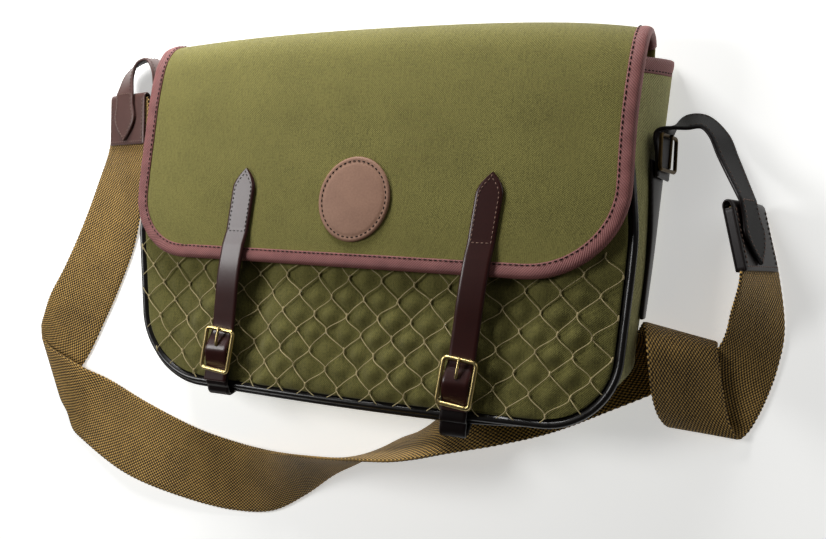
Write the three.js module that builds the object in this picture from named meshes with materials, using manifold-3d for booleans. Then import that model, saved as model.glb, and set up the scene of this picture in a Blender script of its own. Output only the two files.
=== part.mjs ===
// A canvas game bag with a net front, leather straps and a webbing shoulder strap, in millimetres.
// It lies on its back: X runs across the bag, Y from its bottom to its mouth, Z up from the surface.
import * as THREE from "three";
import Module from "manifold-3d";
import { mergeVertices } from "three/addons/utils/BufferGeometryUtils.js";

// Driving dimensions
const GAP = 0.35; // clearance between neighbouring pieces
const SKEW = 0.06; // the soft bag leans sideways by this share of its height
const CANVAS = 2;
const LEATHER = 2.2;
const THIN_LEATHER = 1.2;

const BODY = { left: -176, right: 176, mouth: 92, bottom: -124.5, leftRadius: 44, rightRadius: 42, bow: 1.8 };
const LEFT_TAPER = { below: -22, slope: 0.2 }; // the left side runs in towards the bottom
const TUCK = { slope: 0.2, from: -9, ease: 12 }; // on the right the front seam runs in under the flap
const SIDE_SHARE = 0.36; // share of the body's outline taken by each side with its corner
const STRAIGHT_SHARE = 0.6; // share of a side's stations above its rounded corner
const STRAIGHT_LENGTH = BODY.mouth - BODY.bottom - BODY.leftRadius;
const SIDE_STEPS = 12;
const BOTTOM_STEPS = 16;
const GUSSET_STEPS = 5;
const BACK_SHARES = [0, 0.45, 0.68, 0.85, 1]; // places of the back panel's points from the mouth to its rim
const BACK_HEM = 2; // how far the back panel's mouth edge stands past the gusset's ends

const PIPING = { height: 43, radius: 3, sides: 6, steps: 54 };
const FRONT = { seam: 44.6, crown: 2.2, inset: 3 + GAP };
const GUSSET_TOP = PIPING.height - PIPING.radius - GAP - 0.8;
const CORNER_LIFT = { x: 72, y: -100, slope: 0.42, height: 7.5, from: -28, to: 30 };

const FLAP = {
  left: -175,
  right: 172.5,
  low: -38,
  leftRadius: 44,
  rightRadius: 56,
  sag: 2,
  steps: 12,
  arch: 6.5,
  drop: 4,
};
const FLAP_CANVAS = 2.4;
const BINDING = { reach: 8, lip: 1.4, end: 7, foot: 0.07 };
const BADGE = { y: 5, width: 50, height: 55, thickness: 2.2, rings: 2, steps: 28 };

const FLAP_STRAP = { x: 87, lean: 0.055, width: 17, tip: 24, tipLength: 17 };
const BUCKLE = { y: -101, width: 24, height: 31, bar: 2.8, depth: 2.6, corner: 3, floor: 55.2, middle: 53.4 };
const PRONG = { width: 2, depth: 1.4, length: 11 };
const TAB_WIDTH = 17;

// How much lower each closure's buckle sits, and the slack of its tab past the piping
const CLOSURES = {
  left: { sign: -1, drop: 0, slack: 0 },
  right: { sign: 1, drop: 3.3, slack: 8 },
};
const DROP_FROM = -80; // the strap's run below this place moves with its buckle

const NET = { columns: 15, rows: 8, top: -22, twine: 1.6, inset: 5.5, spread: 6 };

const WEBBING = { thickness: 2, steps: 2 };
const COVER = { leather: 1.5, width: 44, length: 42, steps: 4 };
const STRAP_END = { width: 21, leaf: 23, aside: { left: 0, right: 9 } };
const SIDE_BUCKLE = { y: 42, width: 27, height: 23, bar: 2.4, depth: 2.4, corner: 2.5, stand: 0.3 };
const BILLET = { from: -58, to: 37, low: 5, width: 20, steps: 8 };

// Gusset: how far its back edge stands outside the front seam, and its bulge, along the outline
const GUSSET_ROWS = [
  { at: 0.0, back: 2, bulge: 3 },
  { at: 0.18, back: 0, bulge: 3 },
  { at: 0.3, back: -8, bulge: 3 },
  { at: 0.42, back: -14, bulge: 4 },
  { at: 0.5, back: -32, bulge: 0 },
  { at: 0.58, back: -43, bulge: -5 },
  { at: 0.66, back: -36, bulge: -4 },
  { at: 0.73, back: -6, bulge: 2 },
  { at: 0.78, back: 3, bulge: 3 },
  { at: 1.0, back: 4, bulge: 3 },
];

// Front panel: upright creases in the canvas, as valleys across the bag
const CREASES = [
  { x: -68, depth: 2.6, width: 9 },
  { x: 12, depth: 1.2, width: 18 },
  { x: 112, depth: 2.0, width: 13 },
  { x: -132, depth: 1.0, width: 14 },
];

// Flap: its middle line from the lower edge, over the mouth, to the seam on the back
const FLAP_SECTION = [
  { y: -38, z: 53.6 },
  { y: 0, z: 54.6 },
  { y: 45, z: 54.6 },
  { y: 80, z: 53.6 },
  { y: 101, z: 49.0 },
  { y: 112, z: 39.0 },
  { y: 116.5, z: 25.0 },
  { y: 113, z: 12.0 },
  { y: 105, z: 4.2 },
  { y: 96.3, z: 1.35 },
];
const FLAP_TOP_ROW = 2; // the section's row where the rounded corners are well past

// Flap straps below their stitches: over the binding, through the buckle, to the end
const STRAP_RUN = [
  { y: -28, z: 58.0 },
  { y: -41, z: 58.2 },
  { y: -56, z: 57.2 },
  { y: -72, z: 55.0 },
  { y: -85, z: 53.4 },
  { y: -89.5, z: 53.6 },
  { y: -95.5, z: 56.2 },
  { y: -101, z: 57.9 },
  { y: -106.5, z: 56.2 },
  { y: -112.5, z: 53.6 },
  { y: -117, z: 53.4 },
  { y: -123, z: 53.4 },
];

// Rulings of the webbing from one edge to the other: from the left cover to the flat fold
const WEBBING_LEFT = [
  { p: [-249, 84, 6.5], q: [-203, 84, 18] },
  { p: [-249, 66, 6], q: [-202, 64, 17] },
  { p: [-250, 46, 5], q: [-202, 42, 15] },
  { p: [-262, 18, 2], q: [-213.5, 5.4, 5] },
  { p: [-270.6, -15.6, 6], q: [-222.7, -35.3, 1.2] },
  { p: [-283, -53, 11], q: [-237, -73.6, 1.2] },
  { p: [-294, -78, 14], q: [-247.5, -96.6, 1.2] },
  { p: [-299.4, -93.7, 13.5], q: [-260, -122.5, 1.2] },
  { p: [-301.9, -103.4, 13.6], q: [-273, -143, 1.2] },
  { p: [-301.5, -107.5, 13.6], q: [-281, -157, 1.4] },
];
// From the flat fold, through the half twist, under the bag's corner and up to the right cover
const WEBBING_RIGHT = [
  { p: [-299.9, -112.4, 13.6], q: [-285, -160, 5.4] },
  { p: [-293.5, -119.3, 13.2], q: [-281.5, -166, 5.4] },
  { p: [-280.9, -125.5, 12], q: [-276, -173.5, 5] },
  { p: [-259, -135.1, 7.5], q: [-270.1, -187.3, 3.4] },
  { p: [-238.5, -142, 3], q: [-259.5, -194.5, 3] },
  { p: [-198, -157, 1.2], q: [-210, -214.5, 5.5] },
  { p: [-146, -171, 2.4], q: [-151, -225, 3.5] },
  { p: [-106, -175.6, 6], q: [-108, -227, 1.4] },
  { p: [-76, -173.3, 20.8], q: [-76, -221.5, 1.2] },
  { p: [-50, -169, 38.2], q: [-50, -205.5, 1.2] },
  { p: [-28, -165.8, 48.4], q: [-28, -187.6, 1.2] },
  { p: [-8, -163.8, 52], q: [-8, -175.4, 1.2] },
  { p: [22, -160.8, 52.8], q: [22, -155.2, 1.2] },
  { p: [36, -159, 52], q: [36, -148, 1.2] },
  { p: [50, -156.1, 49], q: [50, -135.8, 1.2] },
  { p: [64, -152.9, 40.4], q: [61.2, -118.8, 1.2] },
  { p: [78, -150.5, 26], q: [72, -105.2, 1.2] },
  { p: [94, -147, 14.8], q: [80.5, -98.7, 1.2] },
  { p: [125, -137, 2], q: [104, -88, 1.2] },
  { p: [160, -119, 1.2], q: [137, -72, 1.2] },
  { p: [198, -97, 1.4], q: [157.8, -73.1, 1.2] },
  { p: [212.7, -81.9, 2], q: [172.9, -69.5, 1.4] },
  { p: [221.9, -69.2, 7], q: [180, -60.6, 14] },
  { p: [222.5, -72.4, 12], q: [182.5, -64, 31] },
  { p: [223.7, -78.7, 13.5], q: [184.6, -71.1, 37] },
  { p: [225.1, -87.5, 12.5], q: [186.5, -83.7, 36] },
  { p: [227, -96.3, 11], q: [188, -96.1, 32] },
  { p: [229.5, -106.8, 9.5], q: [190, -107.3, 25] },
  { p: [232.3, -116.7, 8], q: [193.1, -116.3, 17] },
  { p: [238, -124.4, 4.6], q: [197.7, -121.4, 9] },
  { p: [242.5, -120.4, 1.5], q: [201.6, -116.5, 3.5] },
  { p: [246.8, -111.6, 1.4], q: [205.8, -105.9, 6] },
  { p: [251.5, -98.6, 1.4], q: [214.9, -86, 8] },
  { p: [255.9, -81.6, 1.4], q: [225.3, -67.4, 14] },
  { p: [258.3, -59.7, 1.4], q: [228.9, -49.7, 30] },
  { p: [253, -25.2, 1.4], q: [232.4, -27, 48] },
  { p: [248, -5.6, 1.4], q: [227.4, -7.5, 48] },
  { p: [243.9, 10.3, 1.4], q: [223.3, 8.5, 48] },
];

// Leather strap ends past their covers: lower and upper edge, up to the arch over the side buckle
const LEFT_ARCH = [
  { p: [-236, 105, 7], q: [-219, 101, 19] },
  { p: [-224, 115, 4], q: [-213, 110, 22] },
  { p: [-210, 117, 3], q: [-204, 112, 23] },
  { p: [-199, 108, 3], q: [-197, 104, 24] },
  { p: [-193, 88, 3], q: [-193.5, 87, 24] },
];
const RIGHT_ARCH = [
  { p: [227.2, 41, 9.5], q: [216.6, 38.8, 30] },
  { p: [220.8, 55, 8], q: [210.9, 51.2, 28.5] },
  { p: [207.7, 66.8, 6.5], q: [206.3, 55.8, 27] },
  { p: [195.5, 66.4, 5], q: [199.4, 55.4, 26] },
];

const COLOURS = {
  canvas: { color: 0x5f6437, roughness: 0.95, metalness: 0 },
  gussetCanvas: { color: 0x686c40, roughness: 0.95, metalness: 0 },
  binding: { color: 0x5d3a3c, roughness: 0.6, metalness: 0 },
  piping: { color: 0x17151a, roughness: 0.35, metalness: 0 },
  strap: { color: 0x3a1714, roughness: 0.4, metalness: 0 },
  badge: { color: 0x8a5f55, roughness: 0.6, metalness: 0 },
  brass: { color: 0xc9b06a, roughness: 0.3, metalness: 1 },
  webbing: { color: 0x7b5f35, roughness: 0.9, metalness: 0 },
  cover: { color: 0x4a3232, roughness: 0.55, metalness: 0 },
  twine: { color: 0x8d7a4e, roughness: 0.9, metalness: 0 },
};

const wasm = await Module();
wasm.setup();

const bag = new THREE.Group();
const point = (x, y, z) => new THREE.Vector3(x, y, z);
const { lerp, clamp, smoothstep } = THREE.MathUtils;

function addPiece(name, geometry, finish) {
  const mesh = new THREE.Mesh(geometry, new THREE.MeshStandardMaterial(COLOURS[finish]));
  mesh.name = name;
  bag.add(mesh);
}

// A closed mesh from points and triangles, turned outwards
function closedGeometry(points, faces) {
  let volume = 0;
  for (const [a, b, c] of faces) {
    volume += points[a].dot(points[b].clone().cross(points[c]));
  }
  const flat = points.flatMap((p) => [p.x, p.y, p.z]);
  const outward = volume > 0 ? faces : faces.map(([a, b, c]) => [a, c, b]);
  const geometry = new THREE.BufferGeometry();
  geometry.setAttribute("position", new THREE.Float32BufferAttribute(flat, 3));
  geometry.setIndex(outward.flat());
  geometry.computeVertexNormals();
  return geometry;
}

// Unit normals of a grid of points
function gridNormals(grid) {
  const at = (i, j) => grid[clamp(i, 0, grid.length - 1)][clamp(j, 0, grid[0].length - 1)];
  return grid.map((row, i) =>
    row.map((_, j) => {
      const along = at(i + 1, j).clone().sub(at(i - 1, j));
      const across = at(i, j + 1).clone().sub(at(i, j - 1));
      return across.cross(along).normalize();
    }),
  );
}

// A sheet of even thickness round a grid of points
function thickSheet(grid, thickness) {
  const rows = grid.length;
  const columns = grid[0].length;
  const normals = gridNormals(grid);
  const points = [];
  for (const side of [0.5, -0.5]) {
    grid.forEach((row, i) =>
      row.forEach((p, j) => points.push(p.clone().addScaledVector(normals[i][j], side * thickness))),
    );
  }
  const id = (side, i, j) => side * rows * columns + i * columns + j;
  const faces = [];
  const quad = (a, b, c, d) => faces.push([a, b, c], [a, c, d]);
  for (let i = 0; i + 1 < rows; i++) {
    for (let j = 0; j + 1 < columns; j++) {
      quad(id(0, i, j), id(0, i, j + 1), id(0, i + 1, j + 1), id(0, i + 1, j));
      quad(id(1, i, j), id(1, i + 1, j), id(1, i + 1, j + 1), id(1, i, j + 1));
    }
  }
  for (let i = 0; i + 1 < rows; i++) {
    const last = columns - 1;
    quad(id(0, i, 0), id(0, i + 1, 0), id(1, i + 1, 0), id(1, i, 0));
    quad(id(0, i, last), id(1, i, last), id(1, i + 1, last), id(0, i + 1, last));
  }
  for (let j = 0; j + 1 < columns; j++) {
    const last = rows - 1;
    quad(id(0, 0, j), id(1, 0, j), id(1, 0, j + 1), id(0, 0, j + 1));
    quad(id(0, last, j), id(0, last, j + 1), id(1, last, j + 1), id(1, last, j));
  }
  return closedGeometry(points, faces);
}

// Value of a column at a place along a table, eased between its rows
function along(table, key, at) {
  const next = clamp(table.findIndex((row) => row.at >= at), 1, table.length - 1);
  const [a, b] = [table[next - 1], table[next]];
  return lerp(a[key], b[key], smoothstep(at, a.at, b.at));
}

// Points on a smooth curve through a list, a few for each of its spans
function smoothPoints(points, steps) {
  const curve = new THREE.CatmullRomCurve3(points, false, "centripetal");
  const count = (points.length - 1) * steps;
  return Array.from({ length: count + 1 }, (_, k) => curve.getPoint(k / count));
}

// Rulings of a strip as a grid two points wide, smoothed along the strip and kept off the surface
function strip(rulings, steps) {
  const low = point(-Infinity, -Infinity, WEBBING.thickness / 2 + 0.2);
  const edge = (key) => smoothPoints(rulings.map((row) => point(...row[key])), steps).map((p) => p.max(low));
  const [p, q] = [edge("p"), edge("q")];
  return p.map((a, i) => [a, q[i]]);
}

// Outline of the body in plan: u across, v down a side, moved inwards by inset; front is 1 at the front seam
function plan(u, v, inset = 0, front = 0) {
  const [left, right, bottom] = [BODY.left + inset, BODY.right - inset, BODY.bottom + inset];
  const [leftRadius, rightRadius] = [BODY.leftRadius - inset, BODY.rightRadius - inset];
  const cornerTop = bottom + leftRadius;
  const turn = ((v - STRAIGHT_SHARE) / (1 - STRAIGHT_SHARE)) * (Math.PI / 2);
  const straight = lerp(BODY.mouth, cornerTop, v / STRAIGHT_SHARE);
  const y = turn < 0 ? straight : cornerTop - leftRadius * Math.sin(turn);
  const below = (radius) => Math.min(Math.max(0, bottom + radius - y), radius);
  const inwards = (radius) => radius - Math.sqrt(radius ** 2 - below(radius) ** 2);
  const taper = LEFT_TAPER.slope * Math.max(0, LEFT_TAPER.below - y);
  const past = y - TUCK.from;
  const tuck = (front * TUCK.slope * (Math.hypot(past, TUCK.ease) + past)) / 2;
  const x = lerp(left + taper + inwards(leftRadius), right - inwards(rightRadius) - tuck, u);
  const bow = BODY.bow * Math.sin(Math.PI * u) * smoothstep(v, STRAIGHT_SHARE, 1);
  return { x, y: y - bow };
}

const skewed = (x, y, z) => point(x + SKEW * y, y, z);

// Stations round the body's outline, from the left end of the mouth to the right one
const sideShares = Array.from({ length: SIDE_STEPS + 1 }, (_, k) => k / SIDE_STEPS);
const bottomShares = Array.from({ length: BOTTOM_STEPS + 1 }, (_, k) => k / BOTTOM_STEPS);
const outlineStations = [
  ...sideShares.map((v) => ({ u: 0, v, at: v * SIDE_SHARE })),
  ...bottomShares.slice(1, -1).map((u) => ({ u, v: 1, at: lerp(SIDE_SHARE, 1 - SIDE_SHARE, u) })),
  ...sideShares.map((v) => ({ u: 1, v, at: 1 - v * SIDE_SHARE })).reverse(),
];

// How far the back panel is lifted where the webbing runs under the bag's corner
function cornerLift(x, y) {
  const length = Math.hypot(1, CORNER_LIFT.slope);
  const past = ((x - CORNER_LIFT.x) * CORNER_LIFT.slope - (y - CORNER_LIFT.y)) / length;
  return CORNER_LIFT.height * smoothstep(past, CORNER_LIFT.from, CORNER_LIFT.to);
}

// A point of the gusset's middle surface: w runs from its back edge to the front seam
function gussetPoint(station, w, outward = 0) {
  const back = along(GUSSET_ROWS, "back", station.at) * (1 - w);
  const bulge = along(GUSSET_ROWS, "bulge", station.at) * 4 * w * (1 - w);
  const { x, y } = plan(station.u, station.v, -(back + bulge + outward), w);
  const foot = cornerLift(x + SKEW * y, y) + CANVAS + GAP;
  return skewed(x, y, lerp(foot, GUSSET_TOP, w));
}

// A place off the gusset's outer face, square to it
function offGusset(station, w, distance) {
  const [at, further] = [gussetPoint(station, w), gussetPoint(station, w, 1)];
  const slope = gussetPoint(station, w + 0.02).sub(gussetPoint(station, w - 0.02));
  const outward = point(further.x - at.x, further.y - at.y, 0).normalize();
  const normal = outward.clone().multiplyScalar(slope.z);
  normal.z = -slope.dot(outward);
  return at.addScaledVector(normal.normalize(), distance);
}

// A patch between the two sides, the bottom and a straight top of an outline
function patch(left, right, bottom, height) {
  const [rows, columns] = [left.length - 1, bottom.length - 1];
  return left.map((_, j) =>
    bottom.map((_, i) => {
      const [u, v] = [i / columns, j / rows];
      const down = (left[0].y - left[j].y) / (left[0].y - left[rows].y);
      const blend = (axis) => {
        const sides = lerp(left[j][axis], right[j][axis], u);
        const low = lerp(left[rows][axis], right[rows][axis], u);
        return sides + down * (bottom[i][axis] - low);
      };
      const [x, y] = [blend("x"), blend("y")];
      return skewed(x, y, height(x, y, u, v));
    }),
  );
}

function outlinePatch(inset, height) {
  const left = sideShares.map((v) => plan(0, v, inset(v * SIDE_SHARE), 1));
  const right = sideShares.map((v) => plan(1, v, inset(1 - v * SIDE_SHARE), 1));
  const bottom = bottomShares.map((u) => plan(u, 1, inset(lerp(SIDE_SHARE, 1 - SIDE_SHARE, u)), 1));
  return patch(left, right, bottom, height);
}

// Height of the front panel's middle surface: a crown with upright creases
function frontHeight(x, u, v) {
  const crown = FRONT.crown * (1 - Math.abs(2 * u - 1) ** 4) * (1 - v ** 8);
  const crease = CREASES.map((row) => row.depth * Math.exp(-(((x - row.x) / row.width) ** 2)));
  const depth = crease.reduce((sum, d) => sum + d, 0);
  return FRONT.seam + Math.max(0, crown - depth * (1 - v ** 8));
}

const frontGrid = outlinePatch(() => FRONT.inset, (x, y, u, v) => frontHeight(x, u, v));

function buildBody() {
  const inset = (at) => CANVAS / 2 + GAP - along(GUSSET_ROWS, "back", at);
  const rim = outlineStations.map(({ u, v, at }) => plan(u, v, inset(at)));
  const back = rim.map((edge, k) => {
    const mouth = lerp(rim[0].x, rim.at(-1).x, k / (rim.length - 1));
    return BACK_SHARES.map((share) => {
      const [x, y] = [lerp(mouth, edge.x, share), lerp(BODY.mouth + BACK_HEM * (1 - share), edge.y, share)];
      return skewed(x, y, cornerLift(x + SKEW * y, y) + CANVAS / 2);
    });
  });
  addPiece("back_panel", thickSheet(back, CANVAS), "canvas");

  addPiece("front_panel", thickSheet(frontGrid, CANVAS), "canvas");

  const steps = Array.from({ length: GUSSET_STEPS + 1 }, (_, k) => k / GUSSET_STEPS);
  const gusset = outlineStations.map((station) => steps.map((w) => gussetPoint(station, w)));
  addPiece("gusset", thickSheet(gusset, CANVAS), "gussetCanvas");

  const ring = new THREE.Shape();
  for (let k = 0; k < PIPING.sides; k++) {
    const turn = (2 * Math.PI * (k + 0.5)) / PIPING.sides;
    ring[k ? "lineTo" : "moveTo"](PIPING.radius * Math.cos(turn), PIPING.radius * Math.sin(turn));
  }
  const outline = outlineStations.map(({ u, v }) => plan(u, v, 0, 1));
  const seam = outline.map(({ x, y }) => skewed(x, y, PIPING.height));
  const extrudePath = new THREE.CatmullRomCurve3(seam);
  const piping = new THREE.ExtrudeGeometry(ring, { steps: PIPING.steps, bevelEnabled: false, extrudePath });
  addPiece("front_piping", piping, "piping");

  const half = CANVAS / 2 + GAP + THIN_LEATHER / 2;
  const profile = bindingProfile(half);
  const ends = { left: outlineStations[0], right: outlineStations.at(-1) };
  for (const [side, station] of Object.entries(ends)) {
    const grid = steps.map((step) => lerp(BINDING.foot, 1, step)).map((w) =>
      profile.map(({ inward, up }) => {
        const v = (Math.max(inward, 0) / STRAIGHT_LENGTH) * STRAIGHT_SHARE;
        const at = station.u ? 1 - v * SIDE_SHARE : v * SIDE_SHARE;
        return offGusset({ u: station.u, v, at }, w, up).add(point(0, -Math.min(inward, 0), 0));
      }),
    );
    addPiece(`gusset_binding_${side}`, thickSheet(grid, THIN_LEATHER), "binding");
  }
}

// Cross-section of a leather binding folded over an edge: distances in from the edge and off the sheet
function bindingProfile(half) {
  return [
    { inward: BINDING.reach, up: half },
    { inward: 0, up: half },
    { inward: -BINDING.lip, up: half * 0.6 },
    { inward: -BINDING.lip, up: -half * 0.6 },
    { inward: 0, up: -half },
    { inward: BINDING.reach, up: -half },
  ];
}

const flapCurve = smoothPoints(FLAP_SECTION.map((row) => point(0, row.y, row.z)), 8);

// Rows of the flap: round its lower corners by angle, then along its section
function flapRows() {
  const heightAt = (y) => {
    const next = flapCurve.findIndex((p) => p.y >= y);
    const [a, b] = [flapCurve[Math.max(next - 1, 0)], flapCurve[next]];
    return b.y === a.y ? b.z : lerp(a.z, b.z, (y - a.y) / (b.y - a.y));
  };
  const corner = [0, 18, 36, 54, 72, 90].map((degrees) => {
    const y = FLAP.low + FLAP.rightRadius * (1 - Math.cos(THREE.MathUtils.degToRad(degrees)));
    return { y, z: heightAt(y) };
  });
  const rest = flapCurve.slice(FLAP_TOP_ROW * 8 + 4).filter((_, k) => k % 4 === 0);
  return [...corner, ...rest];
}

// A point of the flap's middle surface
function flapPoint(row, u) {
  const below = (radius) => Math.min(Math.max(0, FLAP.low + radius - row.y), radius);
  const inwards = (radius) => radius - Math.sqrt(radius ** 2 - below(radius) ** 2);
  const onFront = row.z > FLAP_SECTION[3].z - 1;
  const x = lerp(FLAP.left + (onFront ? inwards(FLAP.leftRadius) : 0),
    FLAP.right - (onFront ? inwards(FLAP.rightRadius) : 0), u);
  const share = x / FLAP.right;
  const front = smoothstep(row.z, FLAP_SECTION[5].z, FLAP_SECTION[3].z);
  const fold = Math.min(smoothstep(row.y, 60, 108), smoothstep(row.z, 2, 25));
  const arch = (FLAP.arch * (1 - Math.abs(share) ** 2.4) - FLAP.drop * Math.max(share, 0) ** 6) * fold;
  return skewed(x, row.y + arch, row.z - FLAP.sag * share ** 4 * front);
}

function buildFlap() {
  const rows = flapRows();
  const shares = Array.from({ length: FLAP.steps + 1 }, (_, k) => k / FLAP.steps);
  const grid = rows.map((row) => shares.map((u) => flapPoint(row, u)));
  addPiece("flap", thickSheet(grid, FLAP_CANVAS), "canvas");

  const normals = gridNormals(grid);
  const last = shares.length - 1;
  const edge = [];
  const bound = rows.filter((row) => row.z > BINDING.end).length;
  for (let i = bound - 1; i > 0; i--) {
    edge.push({ at: grid[i][0], normal: normals[i][0] });
  }
  shares.forEach((_, j) => edge.push({ at: grid[0][j], normal: normals[0][j] }));
  for (let i = 1; i < bound; i++) {
    edge.push({ at: grid[i][last], normal: normals[i][last] });
  }
  const half = FLAP_CANVAS / 2 + GAP + 0.25 + THIN_LEATHER / 2;
  const profile = bindingProfile(half);
  const binding = edge.map(({ at, normal }, k) => {
    const before = edge[Math.max(k - 1, 0)].at;
    const after = edge[Math.min(k + 1, edge.length - 1)].at;
    const inwards = normal.clone().cross(after.clone().sub(before)).normalize();
    return profile.map(({ inward, up }) =>
      at.clone().addScaledVector(inwards, inward).addScaledVector(normal, up),
    );
  });
  addPiece("flap_binding", thickSheet(binding, THIN_LEATHER), "binding");
}

// Height of the flap's upper face near its front
function flapTop(x, y) {
  const next = Math.max(1, flapCurve.findIndex((p) => p.y >= y));
  const [a, b] = [flapCurve[next - 1], flapCurve[next]];
  const share = x / FLAP.right;
  return lerp(a.z, b.z, (y - a.y) / (b.y - a.y)) - FLAP.sag * share ** 4 + FLAP_CANVAS / 2;
}

function buildBadge() {
  const rings = Array.from({ length: BADGE.rings }, (_, k) => 1 - k / BADGE.rings);
  const layer = (up) => {
    const place = (share, turn) => {
      const x = (share * BADGE.width * Math.cos(turn)) / 2;
      const y = BADGE.y + (share * BADGE.height * Math.sin(turn)) / 2;
      return skewed(x, y, flapTop(x, y) + GAP + up);
    };
    const turns = Array.from({ length: BADGE.steps }, (_, k) => (2 * Math.PI * k) / BADGE.steps);
    return [...rings.flatMap((share) => turns.map((turn) => place(share, turn))), place(0, 0)];
  };
  const points = [...layer(BADGE.thickness), ...layer(0)];
  const middle = BADGE.rings * BADGE.steps;
  const faces = [];
  for (let k = 0; k < BADGE.steps; k++) {
    const next = (k + 1) % BADGE.steps;
    for (const [base, turn] of [[0, 1], [middle + 1, -1]]) {
      const add = (a, b, c) => faces.push(turn > 0 ? [a, b, c] : [a, c, b]);
      for (let r = 0; r + 1 < BADGE.rings; r++) {
        const [outer, inner] = [base + r * BADGE.steps, base + (r + 1) * BADGE.steps];
        add(outer + k, outer + next, inner + next);
        add(outer + k, inner + next, inner + k);
      }
      const inner = base + (BADGE.rings - 1) * BADGE.steps;
      add(inner + k, inner + next, base + middle);
    }
    faces.push([k, middle + 1 + k, middle + 1 + next], [k, middle + 1 + next, next]);
  }
  addPiece("badge", closedGeometry(points, faces), "badge");
}

// Half width of a pointed strap at a distance from its tip
function pointedHalf(width, distance, length) {
  const share = clamp(distance / length, 0.004, 1);
  return (width / 2) * Math.sqrt(1 - (1 - share) ** 2);
}

// A closed solid from a three.js geometry, for joins
function solidOf(geometry) {
  const plain = geometry.clone();
  plain.deleteAttribute("normal");
  plain.deleteAttribute("uv");
  const merged = mergeVertices(plain, 1e-4);
  return new wasm.Manifold(
    new wasm.Mesh({
      numProp: 3,
      vertProperties: merged.attributes.position.array,
      triVerts: new Uint32Array(merged.index.array),
    }),
  );
}

function geometryOf(solid) {
  const { vertProperties, triVerts } = solid.getMesh();
  const geometry = new THREE.BufferGeometry();
  geometry.setAttribute("position", new THREE.BufferAttribute(vertProperties, 3));
  geometry.setIndex(new THREE.BufferAttribute(triVerts, 1));
  geometry.computeVertexNormals();
  return geometry;
}

// A rounded rectangle centred on the origin
function roundedRectangle(shape, width, height, radius) {
  const [x, y] = [width / 2 - radius, height / 2 - radius];
  shape.absarc(x, -y, radius, -Math.PI / 2, 0);
  shape.absarc(x, y, radius, 0, Math.PI / 2);
  shape.absarc(-x, y, radius, Math.PI / 2, Math.PI);
  shape.absarc(-x, -y, radius, Math.PI, 1.5 * Math.PI);
  shape.closePath();
  return shape;
}

// A flat buckle frame, its thickness upwards from the plane of its outline
function buckleFrame({ width, height, bar, depth, corner }) {
  const outer = roundedRectangle(new THREE.Shape(), width, height, corner);
  outer.holes.push(roundedRectangle(new THREE.Path(), width - 2 * bar, height - 2 * bar, corner / 2));
  return new THREE.ExtrudeGeometry(outer, { depth, bevelEnabled: false, curveSegments: 3 });
}

function buildClosure(side) {
  const { sign, drop, slack } = CLOSURES[side];
  const buckleY = BUCKLE.y - drop;
  const x = (y) => sign * FLAP_STRAP.x + FLAP_STRAP.lean * (y - FLAP.low);
  const centre = (y, z) => skewed(x(y), y, z);
  const turn = -SKEW - FLAP_STRAP.lean;
  const across = (y, z, half) => [point(-half, 0, 0).add(centre(y, z)), point(half, 0, 0).add(centre(y, z))];

  const onFlap = [0, 1.5, 4, 8, 13, 18, 30, 43].map((distance) => {
    const y = FLAP_STRAP.tip - distance;
    const z = flapTop(x(y), y) + GAP + LEATHER / 2;
    return across(y, z, pointedHalf(FLAP_STRAP.width, distance, FLAP_STRAP.tipLength));
  });
  const lowered = (y) => (y < DROP_FROM ? y - drop : y);
  const run = smoothPoints(STRAP_RUN.map((row) => point(0, lowered(row.y), row.z)), 2);
  const free = run.map((p) => across(p.y, p.z, FLAP_STRAP.width / 2));
  addPiece(`flap_strap_${side}`, thickSheet([...onFlap, ...free], LEATHER), "strap");

  const frame = buckleFrame(BUCKLE).translate(0, 0, BUCKLE.floor);
  const barHeight = BUCKLE.floor + BUCKLE.depth / 4 - BUCKLE.middle;
  const middle = new THREE.BoxGeometry(BUCKLE.width - BUCKLE.bar, BUCKLE.bar, barHeight);
  middle.translate(0, 0, BUCKLE.middle + barHeight / 2);
  const place = centre(buckleY, 0);
  const buckle = geometryOf(solidOf(frame).add(solidOf(middle)));
  addPiece(`buckle_${side}`, buckle.rotateZ(turn).translate(place.x, place.y, 0), "brass");

  const prong = new THREE.BoxGeometry(PRONG.width, PRONG.length, PRONG.depth);
  const top = buckleY + BUCKLE.height / 2;
  const low = BUCKLE.floor + BUCKLE.depth + GAP;
  const prongPlace = centre(top - PRONG.length / 2, low + PRONG.depth / 2);
  prong.rotateZ(turn).translate(prongPlace.x, prongPlace.y, prongPlace.z);
  addPiece(`prong_${side}`, prong, "brass");

  const u = (x(BODY.bottom) - plan(0, 1).x) / (plan(1, 1).x - plan(0, 1).x);
  const station = { u, v: 1, at: lerp(SIDE_SHARE, 1 - SIDE_SHARE, u) };
  const seam = plan(u, 1);
  const reach = PIPING.radius + GAP + LEATHER / 2 + 0.6;
  const off = CANVAS / 2 + GAP + LEATHER / 2 + 1.2;
  const tab = [
    { y: buckleY + 5, z: BUCKLE.middle - GAP - LEATHER / 2 },
    { y: buckleY - 3.5, z: BUCKLE.middle - GAP - LEATHER / 2 },
    { y: buckleY - 10, z: 51.3 },
    { y: buckleY - 17, z: 50.9 },
    { y: buckleY - 24, z: 50.2 },
    ...[75, 45, 10, -25].map((degrees) => {
      const round = THREE.MathUtils.degToRad(degrees);
      return { y: seam.y - (reach + slack) * Math.cos(round), z: PIPING.height + reach * Math.sin(round) };
    }),
    ...[0.92, 0.75, 0.6, 0.48].map((w) => offGusset(station, w, w > 0.9 ? off + 1.5 : off)),
  ];
  const tabGrid = tab.map(({ y, z }) => across(y, z, TAB_WIDTH / 2));
  addPiece(`buckle_tab_${side}`, thickSheet(tabGrid, LEATHER), "strap");
}

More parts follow.
